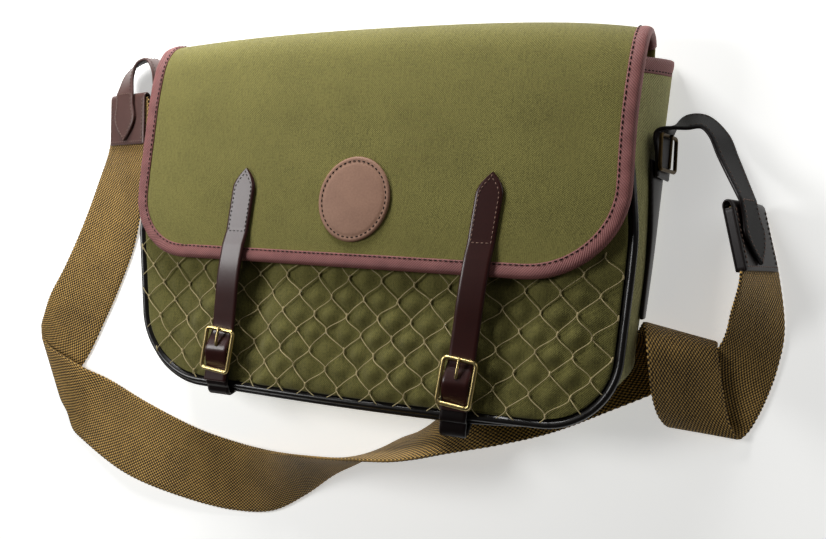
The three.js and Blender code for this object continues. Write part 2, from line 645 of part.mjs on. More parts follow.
// Height of a grid's facets over a place in plan, or its edge height outside
function panelHeight(grid, x, y) {
  const at = point(x + SKEW * y, y, 0);
  const flat = (p) => point(p.x, p.y, 0);
  let found = FRONT.seam;
  for (let i = 0; i + 1 < grid.length; i++) {
    for (let j = 0; j + 1 < grid[0].length; j++) {
      const corners = [grid[i][j], grid[i][j + 1], grid[i + 1][j + 1], grid[i + 1][j]];
      for (const [a, b, c] of [[0, 1, 2], [0, 2, 3]].map((ids) => ids.map((k) => corners[k]))) {
        const share = THREE.Triangle.getBarycoord(at, flat(a), flat(b), flat(c), point(0, 0, 0));
        if (share && Math.min(share.x, share.y, share.z) >= -1e-6) {
          found = Math.max(found, share.x * a.z + share.y * b.z + share.z * c.z);
        }
      }
    }
  }
  return found;
}

// A knotted net over the front panel: each knot is a small lozenge, each strand joins two knots
function buildNet(front) {
  const knots = [];
  const index = new Map();
  const size = NET.twine / Math.SQRT2;
  const inset = () => NET.inset;
  const left = sideShares.map((v) => plan(0, v, inset(), 1));
  const right = sideShares.map((v) => plan(1, v, inset(), 1));
  const bottom = bottomShares.map((u) => plan(u, 1, inset(), 1));
  const edgeAt = (side, y) => {
    const next = side.findIndex((p) => p.y <= y);
    if (next < 1) {
      return side[next < 0 ? side.length - 1 : 0].x;
    }
    const [a, b] = [side[next - 1], side[next]];
    return lerp(a.x, b.x, (a.y - y) / (a.y - b.y));
  };
  const bottomAt = (x) => {
    const next = clamp(bottom.findIndex((p) => p.x >= x), 1, bottom.length - 1);
    const [a, b] = [bottom[next - 1], bottom[next]];
    return lerp(a.y, b.y, clamp((x - a.x) / (b.x - a.x), 0, 1));
  };
  for (let j = 0; j <= NET.rows; j++) {
    const odd = j % 2;
    const level = lerp(NET.top, BODY.bottom + NET.inset, j / NET.rows);
    const [from, to] = [edgeAt(left, level), edgeAt(right, level)];
    for (let i = 0; i + odd <= NET.columns; i++) {
      const u = (i + odd / 2) / NET.columns;
      const x = lerp(from, to, u);
      const y = lerp(NET.top, bottomAt(x), j / NET.rows);
      const around = [[0, 0], [1, 1], [1, -1], [-1, 1], [-1, -1]];
      const heights = around.map(([dx, dy]) => panelHeight(front, x + NET.spread * dx, y + NET.spread * dy));
      index.set(`${i},${j}`, knots.length);
      knots.push(skewed(x, y, Math.max(...heights) + CANVAS / 2 + GAP + NET.twine / 2));
    }
  }
  const corners = [[0, size], [size, 0], [0, -size], [-size, 0]];
  const points = knots.flatMap((k) =>
    [0.5, -0.5].flatMap((up) => corners.map(([dx, dy]) => point(k.x + dx, k.y + dy, k.z + up * NET.twine))),
  );
  const id = (knot, top, corner) => knot * 8 + (top ? 0 : 4) + corner;
  const faces = [];
  const quad = (a, b, c, d) => faces.push([a, b, c], [a, c, d]);
  const [north, east, south, west] = [0, 1, 2, 3];
  const tied = new Set();
  const strand = (upper, lower, upperSide, lowerSide) => {
    // Each side names its two corners, in step along the strand
    const [a, b] = upperSide;
    const [c, d] = lowerSide;
    quad(id(upper, true, a), id(upper, true, b), id(lower, true, d), id(lower, true, c));
    quad(id(upper, false, b), id(upper, false, a), id(lower, false, c), id(lower, false, d));
    quad(id(upper, true, b), id(upper, false, b), id(lower, false, d), id(lower, true, d));
    quad(id(upper, false, a), id(upper, true, a), id(lower, true, c), id(lower, false, c));
    tied.add(`${upper}:${[...upperSide].sort()}`).add(`${lower}:${[...lowerSide].sort()}`);
  };
  for (let j = 0; j < NET.rows; j++) {
    const odd = j % 2;
    for (let i = 0; i + odd <= NET.columns; i++) {
      const upper = index.get(`${i},${j}`);
      const lowerLeft = index.get(`${i - 1 + odd},${j + 1}`);
      const lowerRight = index.get(`${i + odd},${j + 1}`);
      if (lowerLeft !== undefined) {
        strand(upper, lowerLeft, [south, west], [east, north]);
      }
      if (lowerRight !== undefined) {
        strand(upper, lowerRight, [east, south], [north, west]);
      }
    }
  }
  knots.forEach((_, k) => {
    quad(id(k, true, north), id(k, true, west), id(k, true, south), id(k, true, east));
    quad(id(k, false, north), id(k, false, east), id(k, false, south), id(k, false, west));
    for (const [a, b] of [[north, east], [east, south], [south, west], [west, north]]) {
      if (!tied.has(`${k}:${[a, b].sort()}`)) {
        quad(id(k, true, a), id(k, true, b), id(k, false, b), id(k, false, a));
      }
    }
  });
  addPiece("net", closedGeometry(points, faces), "twine");
}

// Rulings on a half cylinder round the flat fold of the webbing
function foldRulings(before, after) {
  const crease = point(...before.q).sub(point(...before.p));
  const outward = point(crease.y, -crease.x, 0).normalize();
  return [-60, -20, 20, 60].map((degrees) => {
    const turn = THREE.MathUtils.degToRad(degrees);
    return ["p", "q"].map((edge) => {
      const [low, high] = [point(...before[edge]), point(...after[edge])];
      const radius = (high.z - low.z) / 2;
      const middle = (low.z + high.z) / 2;
      const place = low.lerp(high, 0.5 + degrees / 180).addScaledVector(outward, radius * Math.cos(turn));
      return place.setZ(middle + radius * Math.sin(turn));
    });
  });
}

const webbingGrid = [
  ...strip(WEBBING_LEFT, WEBBING.steps),
  ...foldRulings(WEBBING_LEFT.at(-1), WEBBING_RIGHT[0]),
  ...strip(WEBBING_RIGHT, WEBBING.steps),
];

// Frame of a webbing end: out of its end, across it to its higher edge, and off its upper face
function endFrame(last, before, towards) {
  const middle = (row) => row[0].clone().lerp(row[1], 0.5);
  const out = middle(last).sub(middle(before)).normalize();
  const across = last[1].clone().sub(last[0]).normalize();
  if (across.z < 0) {
    across.negate();
  }
  const off = out.clone().cross(across).normalize();
  if (off.dot(towards) < 0) {
    off.negate();
  }
  return { end: middle(last), out, across, off };
}

// A place in an end's frame: distance past the end, across from its middle, off its face
function placed({ end, out, across, off }, past, aside, above) {
  return end.clone().addScaledVector(out, past).addScaledVector(across, aside).addScaledVector(off, above);
}

// A leather cover folded round a webbing end, and the pointed strap sewn on its face
function buildStrapEnd(side, frame, arch, last) {
  const off = WEBBING.thickness / 2 + GAP + COVER.leather / 2 + 0.8;
  const inside = COVER.length - COVER.width / 8;
  const past = off + GAP;
  const section = [
    { past: -inside, above: off },
    { past: -inside / 2, above: off },
    { past: 0, above: off },
    { past: past * 0.7, above: off * 0.7 },
    { past, above: 0 },
    { past: past * 0.7, above: -off * 0.7 },
    { past: 0, above: -off },
    { past: -inside / 2, above: -off },
    { past: -inside, above: -off },
  ];
  const cover = section.map((row) =>
    [-0.5, 0.5].map((share) => placed(frame, row.past, share * COVER.width, row.above)),
  );
  addPiece(`strap_cover_${side}`, thickSheet(cover, COVER.leather), "cover");

  const above = off + COVER.leather / 2 + GAP + LEATHER / 2;
  const sewn = [0, 2, 5, 10, 16, 24, 33, inside].map((distance) => {
    const half = pointedHalf(distance < 24 ? STRAP_END.leaf : STRAP_END.width, distance, 20);
    const edge = (sign) => STRAP_END.aside[side] + sign * half;
    return [-1, 1].map((sign) => placed(frame, distance - inside + 3, edge(sign), above));
  });
  const free = arch.map((row) => [point(...row.p), point(...row.q)]);
  const knots = [sewn.at(-1), ...free, last];
  const smooth = (edge) => smoothPoints(knots.map((row) => row[edge]), 3).slice(1);
  const [p, q] = [smooth(0), smooth(1)];
  const grid = [...sewn, ...p.map((a, i) => [a, q[i]])];
  addPiece(`strap_end_${side}`, thickSheet(grid, LEATHER), "strap");
}

// Places on the outer face of a side of the gusset, in layers of leather
function sidePlace(u, y, height, layer) {
  const share = clamp((BODY.mouth - y) / STRAIGHT_LENGTH, 0, 1);
  const v = share * STRAIGHT_SHARE;
  const station = { u, v, at: u ? 1 - v * SIDE_SHARE : v * SIDE_SHARE };
  const outward = CANVAS / 2 + GAP + LEATHER / 2 + 0.4 + layer * (LEATHER + GAP + 1.1);
  const foot = gussetPoint(station, 0).z;
  return offGusset(station, (height - foot) / (GUSSET_TOP - foot), outward);
}

function buildSide(side, u, frame, arch) {
  const shares = Array.from({ length: BILLET.steps + 1 }, (_, k) => k / BILLET.steps);
  const rows = shares.map((share) => lerp(BILLET.from, BILLET.to, share));
  const edges = [BILLET.low, BILLET.low + BILLET.width];
  const heights = [0, 1 / 3, 2 / 3, 1].map((share) => lerp(...edges, share));
  const billet = rows.map((y) => heights.map((height) => sidePlace(u, y, height, 0)));
  addPiece(`side_billet_${side}`, thickSheet(billet, LEATHER), "strap");

  const last = edges.map((height) => sidePlace(u, SIDE_BUCKLE.y - 15, height, 1));
  const seated = [12, -2].map((past) => {
    const [p, q] = edges.map((height) => sidePlace(u, SIDE_BUCKLE.y + past, height, 1).toArray());
    return { p, q };
  });
  buildStrapEnd(side, frame, [...arch, ...seated], last);

  // The buckle stands on the strap's outer face, its outline in the plane of that face
  const at = (y, height) => sidePlace(u, y, height, 1);
  const [low, high] = edges;
  const middle = (low + high) / 2;
  const upward = at(SIDE_BUCKLE.y, high).sub(at(SIDE_BUCKLE.y, low)).normalize();
  const forward = at(SIDE_BUCKLE.y + 5, middle).sub(at(SIDE_BUCKLE.y - 5, middle)).normalize();
  const outward = forward.clone().cross(upward).normalize();
  if (outward.x * (u - 0.5) < 0) {
    outward.negate();
  }
  const basis = new THREE.Matrix4().makeBasis(outward.clone().cross(forward).negate(), forward, outward);
  if (basis.determinant() < 0) {
    basis.makeBasis(outward.clone().cross(forward), forward, outward);
  }
  const frameGeometry = buckleFrame(SIDE_BUCKLE);
  const seat = at(SIDE_BUCKLE.y, low).lerp(at(SIDE_BUCKLE.y, high), 0.5);
  basis.setPosition(seat.addScaledVector(outward, LEATHER / 2 + GAP + SIDE_BUCKLE.stand));
  addPiece(`side_buckle_${side}`, frameGeometry.applyMatrix4(basis), "brass");
}

buildBody();
buildFlap();
buildBadge();
buildClosure("left");
buildClosure("right");
buildNet(frontGrid);
addPiece("webbing", thickSheet(webbingGrid, WEBBING.thickness), "webbing");
const upwards = point(0, 0, 1);
buildSide("left", 0, endFrame(webbingGrid[0], webbingGrid[1], upwards), LEFT_ARCH);
buildSide("right", 1, endFrame(webbingGrid.at(-1), webbingGrid.at(-2), upwards), RIGHT_ARCH);

// The origin is under the middle of the whole, on the surface that it lies on
const box = new THREE.Box3().setFromObject(bag);
const middle = box.getCenter(new THREE.Vector3());
bag.children.forEach((mesh) => mesh.geometry.translate(-middle.x, -middle.y, -box.min.z));

export default bag;
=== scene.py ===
import logging
import math
from dataclasses import dataclass, field
from enum import Enum
from typing import Any, Sequence

import bmesh
import bpy
import numpy as np
from mathutils import Matrix, Vector
from numpy.typing import NDArray


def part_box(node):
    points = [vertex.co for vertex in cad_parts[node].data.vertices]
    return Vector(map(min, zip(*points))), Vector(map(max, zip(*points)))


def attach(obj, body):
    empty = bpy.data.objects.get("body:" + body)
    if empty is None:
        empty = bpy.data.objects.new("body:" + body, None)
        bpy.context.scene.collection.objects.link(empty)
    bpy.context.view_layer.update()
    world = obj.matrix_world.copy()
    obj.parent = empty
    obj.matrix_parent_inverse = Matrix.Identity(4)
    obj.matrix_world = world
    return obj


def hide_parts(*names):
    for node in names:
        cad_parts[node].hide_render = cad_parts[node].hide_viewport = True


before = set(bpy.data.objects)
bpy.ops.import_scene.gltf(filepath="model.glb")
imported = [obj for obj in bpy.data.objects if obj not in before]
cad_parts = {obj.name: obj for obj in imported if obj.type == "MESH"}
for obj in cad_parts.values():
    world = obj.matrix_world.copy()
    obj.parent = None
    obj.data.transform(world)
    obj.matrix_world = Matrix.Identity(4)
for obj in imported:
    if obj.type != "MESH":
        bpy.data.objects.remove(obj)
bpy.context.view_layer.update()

Array = NDArray[np.float64]
Tree = bpy.types.ShaderNodeTree
Socket = bpy.types.NodeSocket

log = logging.getLogger("game_bag")

# Sizes are in millimetres of the bag's own axes: X across, Y from its bottom to its mouth, Z up.
GAP = 0.35  # clearance of pieces that lie on each other
SKEW = 0.06  # the bag's sideways lean, along X for each millimetre of Y
BADGE_MIDDLE = (0.3, 5.0)
UP = np.array([0.0, 0.0, 1.0])
ACROSS = np.array([1.0, 0.0, 0.0])
RIM_THICKNESS = 0.62  # share of a sheet's thickness that its rounded edge keeps
RIM_REACH = 0.16  # how far its rim stands out, as a share of the thickness
PATTERN_MAP = "pattern_mm"  # holds each point's place on its material, in millimetres


class Side(Enum):
    """The two sides of the bag, as seen from its front."""

    LEFT = "left"
    RIGHT = "right"

    @property
    def sign(self) -> int:
        """The direction of this side along X."""
        return -1 if self is Side.LEFT else 1


class Held(Enum):
    """How a sheet of cloth is held."""

    FOLDED = "folded"
    STRETCHED = "stretched"
    LAID = "laid"


def smoothstep(value: Array | float, low: Array | float, high: Array | float) -> Array:
    """Eases a value from 0 to 1 between two limits.

    Args:
        value: The values to ease.
        low: Where the result leaves 0.
        high: Where the result reaches 1.

    Returns:
        The eased values.
    """
    share = np.clip((np.asarray(value, float) - low) / (high - low), 0, 1)
    return share * share * (3 - 2 * share)


def mix(low: Any, high: Any, share: Any) -> Any:
    """The value a share of the way between two values."""
    return low + (high - low) * share


def unit(vectors: Array) -> Array:
    """Vectors scaled to length 1."""
    length = np.linalg.norm(vectors, axis=-1, keepdims=True)
    return vectors / np.maximum(length, 1e-9)


def skewed(x: Array, y: Array, z: Array) -> Array:
    """Points with the bag's sideways lean.

    Args:
        x: Places across the upright bag.
        y: Places up the bag.
        z: Heights.

    Returns:
        The points, with their coordinates on the last axis.
    """
    x, y, z = np.broadcast_arrays(x, y, z)
    return np.stack([x + SKEW * y, y, z], axis=-1).astype(float)


def turned_in(low: Array | float, radius: Array | float, y: Array) -> Array:
    """How far an outline's corner of this radius has turned in at heights over its lower edge."""
    below = np.clip(low + radius - y, 0, radius)
    return radius - np.sqrt(np.maximum(radius**2 - below**2, 0))


def smooth_points(points: Array, steps: int) -> Array:
    """Points on a centripetal Catmull-Rom curve.

    Args:
        points: The points that the curve goes through.
        steps: How many points each span gets.

    Returns:
        The points of the curve, ends included.
    """
    padded = np.vstack([2 * points[0] - points[1], points, 2 * points[-1] - points[-2]])
    knots = np.sqrt(np.linalg.norm(np.diff(padded, axis=0), axis=1))
    knots = np.maximum(knots, 1e-4)
    share = np.arange(steps)[:, None] / steps
    spans = []
    for k in range(len(points) - 1):
        a, b, c, d = padded[k : k + 4]
        before, here, after = knots[k : k + 3]
        leave = ((b - a) / before - (c - a) / (before + here) + (c - b) / here) * here
        arrive = ((c - b) / here - (d - b) / (here + after) + (d - c) / after) * here
        square = -3 * b + 3 * c - 2 * leave - arrive
        cube = 2 * b - 2 * c + leave + arrive
        spans.append(b + leave * share + square * share**2 + cube * share**3)
    return np.vstack([*spans, points[-1]])


def lengths(path: Array) -> Array:
    """The distance of each point from the start of a path."""
    return np.concatenate([[0], np.cumsum(np.linalg.norm(np.diff(path, axis=0), axis=1))])


def at_distances(points: Array, way: Array, at: Array) -> Array:
    """Points at given distances of a way that is known at each of them."""
    return np.stack([np.interp(at, way, points[:, k]) for k in range(3)], axis=1)


def resampled(path: Array, at: Array, *more: Array) -> list[Array]:
    """Values along a path at given distances.

    Args:
        path: The points of the path.
        at: The distances from its start.
        more: Further rows of vectors that belong to the path's points.

    Returns:
        The path and each further row at those distances.
    """
    known = lengths(path)
    return [at_distances(rows, known, at) for rows in (path, *more)]


def ripple(x: Array, y: Array, wave: float, seed: int) -> Array:
    """An uneven swell between about -1 and 1, the same each time.

    Args:
        x: Places across.
        y: Places along.
        wave: The usual distance between two crests.
        seed: Picks the swell.

    Returns:
        The swell's heights.
    """
    random = np.random.default_rng(seed)
    total = np.zeros(np.broadcast(x, y).shape)
    for _ in range(6):
        turn, phase = random.uniform(0, 2 * math.pi, 2)
        scale = 2 * math.pi / (wave * random.uniform(0.7, 1.6))
        total = total + np.sin(scale * (x * math.cos(turn) + y * math.sin(turn)) + phase)
    return total / 3.2


@dataclass
class Shape:
    """A closed mesh in millimetres, with places for its pattern.

    Attributes:
        points: The points.
        faces: The corners of each face.
        places: Two lengths for each point, along and across the material.
        kinds: The finish of each face, by its place in the piece's list.
    """

    points: Array
    faces: list[tuple[int, ...]]
    places: Array
    kinds: list[int] = field(default_factory=list)

    def moved(self, matrix: Array, offset: Array) -> "Shape":
        """The shape turned by a matrix and moved."""
        return Shape(self.points @ matrix.T + offset, self.faces, self.places, self.kinds)


def joined(shapes: Sequence[Shape]) -> Shape:
    """Several shapes as one.

    Args:
        shapes: The shapes.

    Returns:
        One shape with all their faces.
    """
    faces: list[tuple[int, ...]] = []
    kinds: list[int] = []
    start = 0
    for shape in shapes:
        faces += [tuple(k + start for k in face) for face in shape.faces]
        kinds += shape.kinds or [0] * len(shape.faces)
        start += len(shape.points)
    points = np.vstack([shape.points for shape in shapes])
    return Shape(points, faces, np.vstack([shape.places for shape in shapes]), kinds)


def with_margin(grid: Array, edge: float) -> Array:
    """A grid with one more row just inside its first and last ones.

    Args:
        grid: The points in rows.
        edge: The distance of the new rows from the edge.

    Returns:
        The longer grid.
    """

    def between(outer: Array, inner: Array) -> Array:
        """A row near the outer one."""
        distance = np.linalg.norm(inner - outer, axis=-1, keepdims=True)
        return outer + (inner - outer) * np.minimum(edge / np.maximum(distance, 1e-6), 0.45)

    first, last = between(grid[0], grid[1]), between(grid[-1], grid[-2])
    return np.concatenate([grid[:1], first[None], grid[1:-1], last[None], grid[-1:]])


def grid_normals(grid: Array) -> Array:
    """Unit normals of a grid of points."""
    along, across = np.gradient(grid, axis=0), np.gradient(grid, axis=1)
    return unit(np.cross(across, along))


def border_of(rows: int, columns: int) -> Array:
    """The places of a grid's border, in order round it.

    Args:
        rows: The grid's rows.
        columns: The grid's columns.

    Returns:
        A row and a column for each place.
    """
    top = [(0, j) for j in range(columns)]
    right = [(i, columns - 1) for i in range(1, rows)]
    low = [(rows - 1, j) for j in range(columns - 2, -1, -1)]
    left = [(i, 0) for i in range(rows - 2, 0, -1)]
    return np.array(top + right + low + left)


def sheet(grid: Array, thickness: float, edge: float = 0.5, backed: bool = False) -> Shape:
    """A sheet of even thickness with rounded edges.

    Args:
        grid: The points of its middle surface, in rows.
        thickness: Its thickness.
        edge: How far the rounding reaches in from the edge.
        backed: Whether its lower face has the second finish.

    Returns:
        The closed shape.
    """
    grid = with_margin(with_margin(grid, edge).swapaxes(0, 1), edge).swapaxes(0, 1)
    rows, columns = grid.shape[:2]
    normals = grid_normals(grid)
    half = np.full((rows, columns, 1), thickness / 2)
    half[[0, -1]] *= RIM_THICKNESS
    half[1:-1, [0, -1]] *= RIM_THICKNESS
    border = border_of(rows, columns)
    inner = np.clip(border, 1, [rows - 2, columns - 2])
    out = unit(grid[border[:, 0], border[:, 1]] - grid[inner[:, 0], inner[:, 1]])
    rim = grid[border[:, 0], border[:, 1]] + out * thickness * RIM_REACH
    size = rows * columns
    points = np.vstack([(grid + normals * half).reshape(-1, 3), (grid - normals * half).reshape(-1, 3), rim])

    wide = np.cumsum(np.append(0, np.linalg.norm(np.diff(grid, axis=1), axis=2).mean(axis=0)))
    long = np.cumsum(np.append(0, np.linalg.norm(np.diff(grid, axis=0), axis=2).mean(axis=1)))
    places = np.stack(np.meshgrid(wide, long), axis=-1).reshape(-1, 2)
    ring = border[:, 0] * columns + border[:, 1]
    places = np.vstack([places, places, places[ring]])

    ids = np.arange(size).reshape(rows, columns)
    quads = np.stack([ids[:-1, :-1], ids[:-1, 1:], ids[1:, 1:], ids[1:, :-1]], axis=-1).reshape(-1, 4)
    after = np.roll(np.arange(len(ring)), -1)
    rim_ids = 2 * size + np.arange(len(ring))
    upper = np.stack([ring, rim_ids, rim_ids[after], ring[after]], axis=-1)
    lower = np.stack([rim_ids, ring + size, ring[after] + size, rim_ids[after]], axis=-1)
    faces = np.vstack([quads, quads[:, ::-1] + size, upper, lower])
    kinds = [0] * len(quads) + [int(backed)] * len(quads) + [0] * (2 * len(ring))
    return Shape(points, [tuple(face) for face in faces.tolist()], places, kinds)


def loft(rings: Array, closed: bool = False) -> Shape:
    """A shape through rings of points.

    Args:
        rings: The rings in order, each with the same number of points.
        closed: Whether the last ring joins the first.

    Returns:
        The closed shape.
    """
    count, sides = rings.shape[:2]
    ids = np.arange(count * sides).reshape(count, sides)
    if closed:
        ids = np.vstack([ids, ids[:1]])
    turned = np.roll(ids, -1, axis=1)
    quads = np.stack([ids[:-1], turned[:-1], turned[1:], ids[1:]], axis=-1).reshape(-1, 4)
    faces = [tuple(face) for face in quads.tolist()]
    if not closed:
        faces += [tuple(range(sides))[::-1], tuple(range((count - 1) * sides, count * sides))]
    around = lengths(rings[0])
    along = lengths(rings.mean(axis=1))
    places = np.stack(np.meshgrid(around, along), axis=-1).reshape(-1, 2)
    return Shape(rings.reshape(-1, 3), faces, places)


def path_frames(path: Array, hint: Array) -> tuple[Array, Array, Array]:
    """Directions along a path.

    Args:
        path: The points of the path.
        hint: A vector, or one for each point, that the second direction keeps to.

    Returns:
        Directions along the path, towards the hint, and square to both.
    """
    ahead = unit(np.gradient(path, axis=0))
    hint = np.broadcast_to(hint, path.shape)
    up = unit(hint - ahead * np.sum(hint * ahead, axis=1, keepdims=True))
    return ahead, up, np.cross(ahead, up)


def tube(path: Array, radius: Array | float, sides: int, hint: Array, closed: bool = False) -> Shape:
    """A round bar along a path.

    Args:
        path: The points of its middle line.
        radius: Its radius, or one for each point.
        sides: The points of each ring.
        hint: A direction that is never along the path.
        closed: Whether the path is a loop.

    Returns:
        The closed shape.
    """
    whole = np.vstack([path[-1:], path, path[:1]]) if closed else path
    _, up, aside = path_frames(whole, hint)
    if closed:
        up, aside = up[1:-1], aside[1:-1]
    turn = np.linspace(0, 2 * math.pi, sides, endpoint=False)
    size = np.broadcast_to(radius, len(path))[:, None, None]
    ring = up[:, None] * np.cos(turn)[:, None] + aside[:, None] * np.sin(turn)[:, None]
    return loft(path[:, None] + ring * size, closed)


@dataclass(frozen=True)
class Seam:
    """A row of stitches.

    Attributes:
        pitch: Distance from one stitch to the next.
        length: Length of a stitch on the surface.
        radius: Radius of the thread.
    """

    pitch: float = 3.2
    length: float = 2.3
    radius: float = 0.36

    def along(self, path: Array, normals: Array) -> Shape:
        """Stitches along a path on a surface.

        Args:
            path: The points of the path.
            normals: The surface's normal, or one for each point.

        Returns:
            All the stitches as one shape, each dipping into the surface at its ends.
        """
        total = lengths(path)[-1]
        count = max(2, int(total / self.pitch))
        at = (np.arange(count) + 0.5) * total / count
        middle, up = resampled(path, at, np.broadcast_to(normals, path.shape))
        ahead = unit(resampled(path, at + 0.3)[0] - resampled(path, at - 0.3)[0])
        up = unit(up - ahead * np.sum(up * ahead, axis=1, keepdims=True))
        aside = np.cross(ahead, up)
        stations = np.array([-0.5, -0.36, -0.12, 0.12, 0.36, 0.5]) * self.length
        swell = np.array([0.45, 0.85, 1.0, 1.0, 0.85, 0.45]) * self.radius
        rise = np.array([-0.9, -0.2, 0.25, 0.25, -0.2, -0.9]) * self.radius
        turn = np.linspace(0, 2 * math.pi, 6, endpoint=False)
        line = middle[:, None] + ahead[:, None] * stations[:, None] + up[:, None] * rise[:, None]
        ring = up[:, None] * np.sin(turn)[:, None] + aside[:, None] * np.cos(turn)[:, None]
        rings = line[:, :, None] + ring[:, None] * swell[:, None, None]
        return joined([loft(one) for one in rings])


def linear(code: str) -> tuple[float, float, float, float]:
    """A linear colour from an sRGB hex code.

    Args:
        code: Six hex digits after a hash mark.

    Returns:
        Red, green, blue and alpha.
    """
    parts = [int(code[k : k + 2], 16) / 255 for k in (1, 3, 5)]
    curve = [c / 12.92 if c <= 0.04045 else ((c + 0.055) / 1.055) ** 2.4 for c in parts]
    return curve[0], curve[1], curve[2], 1.0


def set_inputs(tree: Tree, node: Any, inputs: dict[Any, Any]) -> None:
    """Sets inputs of a node.

    Args:
        tree: The node tree.
        node: The node.
        inputs: Values or other nodes' outputs, by an input's name or number.
    """
    for key, value in inputs.items():
        if isinstance(value, Socket):
            tree.links.new(value, node.inputs[key])
        else:
            node.inputs[key].default_value = value


def add_node(tree: Tree, kind: str, settings: dict[str, Any], inputs: dict[Any, Any]) -> Any:
    """Adds a node.

    Args:
        tree: The node tree.
        kind: The node's type.
        settings: Its properties by name.
        inputs: Values or other nodes' outputs, by an input's name or number.

    Returns:
        The node.
    """
    node = tree.nodes.new(kind)
    for key, value in settings.items():
        setattr(node, key, value)
    set_inputs(tree, node, inputs)
    return node


def maths(tree: Tree, operation: str, *values: Socket | float) -> Socket:
    """The output of a maths node on one to three values."""
    inputs = dict(enumerate(values))
    return add_node(tree, "ShaderNodeMath", {"operation": operation}, inputs).outputs[0]


@dataclass(frozen=True)
class Finish:
    """A material, built once and shared by its pieces.

    Attributes:
        name: The material's name.
        colour: Its main colour, as an sRGB hex code.
        dark: Its second colour: painted shade in a weave's hollows, and the darker tone of leather's grain
            and metal's polish.
        roughness: The surface's roughness.
    """

    name: str
    colour: str
    dark: str
    roughness: float

    def material(self) -> bpy.types.Material:
        """The finish's material.

        Returns:
            The material, made at its first use.
        """
        known = bpy.data.materials.get(self.name)
        if known is not None:
            return known
        made = bpy.data.materials.new(self.name)
        made.use_nodes = True
        tree = made.node_tree
        tree.nodes.clear()
        surface = add_node(tree, "ShaderNodeBsdfPrincipled", {}, {"Roughness": self.roughness})
        self.dress(tree, surface)
        add_node(tree, "ShaderNodeOutputMaterial", {}, {"Surface": surface.outputs[0]})
        return made

    def dress(self, tree: Tree, surface: Any) -> None:
        """Adds the finish's colour and relief to its surface.

        Args:
            tree: The node tree.
            surface: The surface's node.
        """
        set_inputs(tree, surface, {"Base Color": linear(self.colour), "Specular IOR Level": 0.15})

    def pattern(self, tree: Tree) -> Socket:
        """The places of the pattern, in millimetres."""
        return add_node(tree, "ShaderNodeUVMap", {"uv_map": PATTERN_MAP}, {}).outputs[0]

    def mix_colours(self, tree: Tree, surface: Any, share: Socket) -> None:
        """Colours the surface between the main colour and the dark one.

        Args:
            tree: The node tree.
            surface: The surface's node.
            share: The share of the dark colour.
        """
        inputs = {"Factor": share, 6: linear(self.colour), 7: linear(self.dark)}
        node = add_node(tree, "ShaderNodeMix", {"data_type": "RGBA"}, inputs)
        set_inputs(tree, surface, {"Base Color": node.outputs[2]})

    def noise(self, tree: Tree, scale: tuple[float, float], detail: float) -> Socket:
        """Noise on the pattern's places.

        Args:
            tree: The node tree.
            scale: Cells to the millimetre across and along.
            detail: The noise's octaves.

        Returns:
            The noise's output, from 0 to 1.
        """
        place = {"Vector": self.pattern(tree), "Scale": (*scale, 1.0)}
        sized = add_node(tree, "ShaderNodeMapping", {}, place).outputs[0]
        inputs = {"Vector": sized, "Scale": 1.0, "Detail": detail, "Roughness": 0.6}
        return add_node(tree, "ShaderNodeTexNoise", {}, inputs).outputs[0]

    def bump(self, tree: Tree, surface: Any, height: Socket, depth: float) -> None:
        """Gives the surface a relief.

        Args:
            tree: The node tree.
            surface: The surface's node.
            height: The relief's height, from about 0 to 1.
            depth: What a height of 1 stands for, in millimetres.
        """
        inputs = {"Strength": 1.0, "Distance": depth / 1000, "Height": height}
        node = add_node(tree, "ShaderNodeBump", {}, inputs)
        set_inputs(tree, surface, {"Normal": node.outputs[0]})


@dataclass(frozen=True)
class Woven(Finish):
    """A plain woven cloth.

    Attributes:
        pitch: Length of the weave's repeat across and along, in millimetres.
        depth: Height of the threads over the hollows, in millimetres.
        contrast: How dark the painted shade in the hollows is, from 0 to 1.
        uneven: How far the slubs change the colour.
    """

    pitch: tuple[float, float] = (1.5, 1.5)
    depth: float = 0.2
    contrast: float = 0.35
    uneven: float = 0.7

    def dress(self, tree: Tree, surface: Any) -> None:
        """Adds threads that cross, with painted shade in their hollows, slubs and soft wear.

        Args:
            tree: The node tree.
            surface: The surface's node.
        """
        parts = add_node(tree, "ShaderNodeSeparateXYZ", {}, {0: self.pattern(tree)}).outputs
        turns = [maths(tree, "MULTIPLY", parts[k], 2 * math.pi / self.pitch[k]) for k in (0, 1)]
        crossing = maths(tree, "MULTIPLY", *[maths(tree, "SINE", turn) for turn in turns])
        weave = maths(tree, "MULTIPLY_ADD", crossing, 0.5, 0.5)
        slubs = self.noise(tree, (2.2 / self.pitch[0], 0.16 / self.pitch[1]), 1.0)
        mottle = self.noise(tree, (0.75, 0.75), 3.0)
        wear = self.noise(tree, (0.03, 0.03), 4.0)
        # The hollows between the threads are darkened as painted shade.
        hollow = maths(tree, "MULTIPLY", maths(tree, "SUBTRACT", weave, 1.0), -self.contrast)
        faint = maths(tree, "MULTIPLY", slubs, 0.5)
        grain = maths(tree, "SUBTRACT", maths(tree, "ADD", faint, mottle), 0.75)
        uneven = maths(tree, "MULTIPLY", grain, self.uneven)
        faded = maths(tree, "MULTIPLY", maths(tree, "SUBTRACT", wear, 0.5), 0.5)
        share = maths(tree, "ADD", hollow, maths(tree, "ADD", uneven, faded))
        share.node.use_clamp = True
        self.mix_colours(tree, surface, share)
        sheen = {"Sheen Weight": 0.12, "Sheen Roughness": 0.5}
        set_inputs(tree, surface, {**sheen, "Specular IOR Level": 0.25})
        self.bump(tree, surface, maths(tree, "ADD", weave, faint), self.depth)


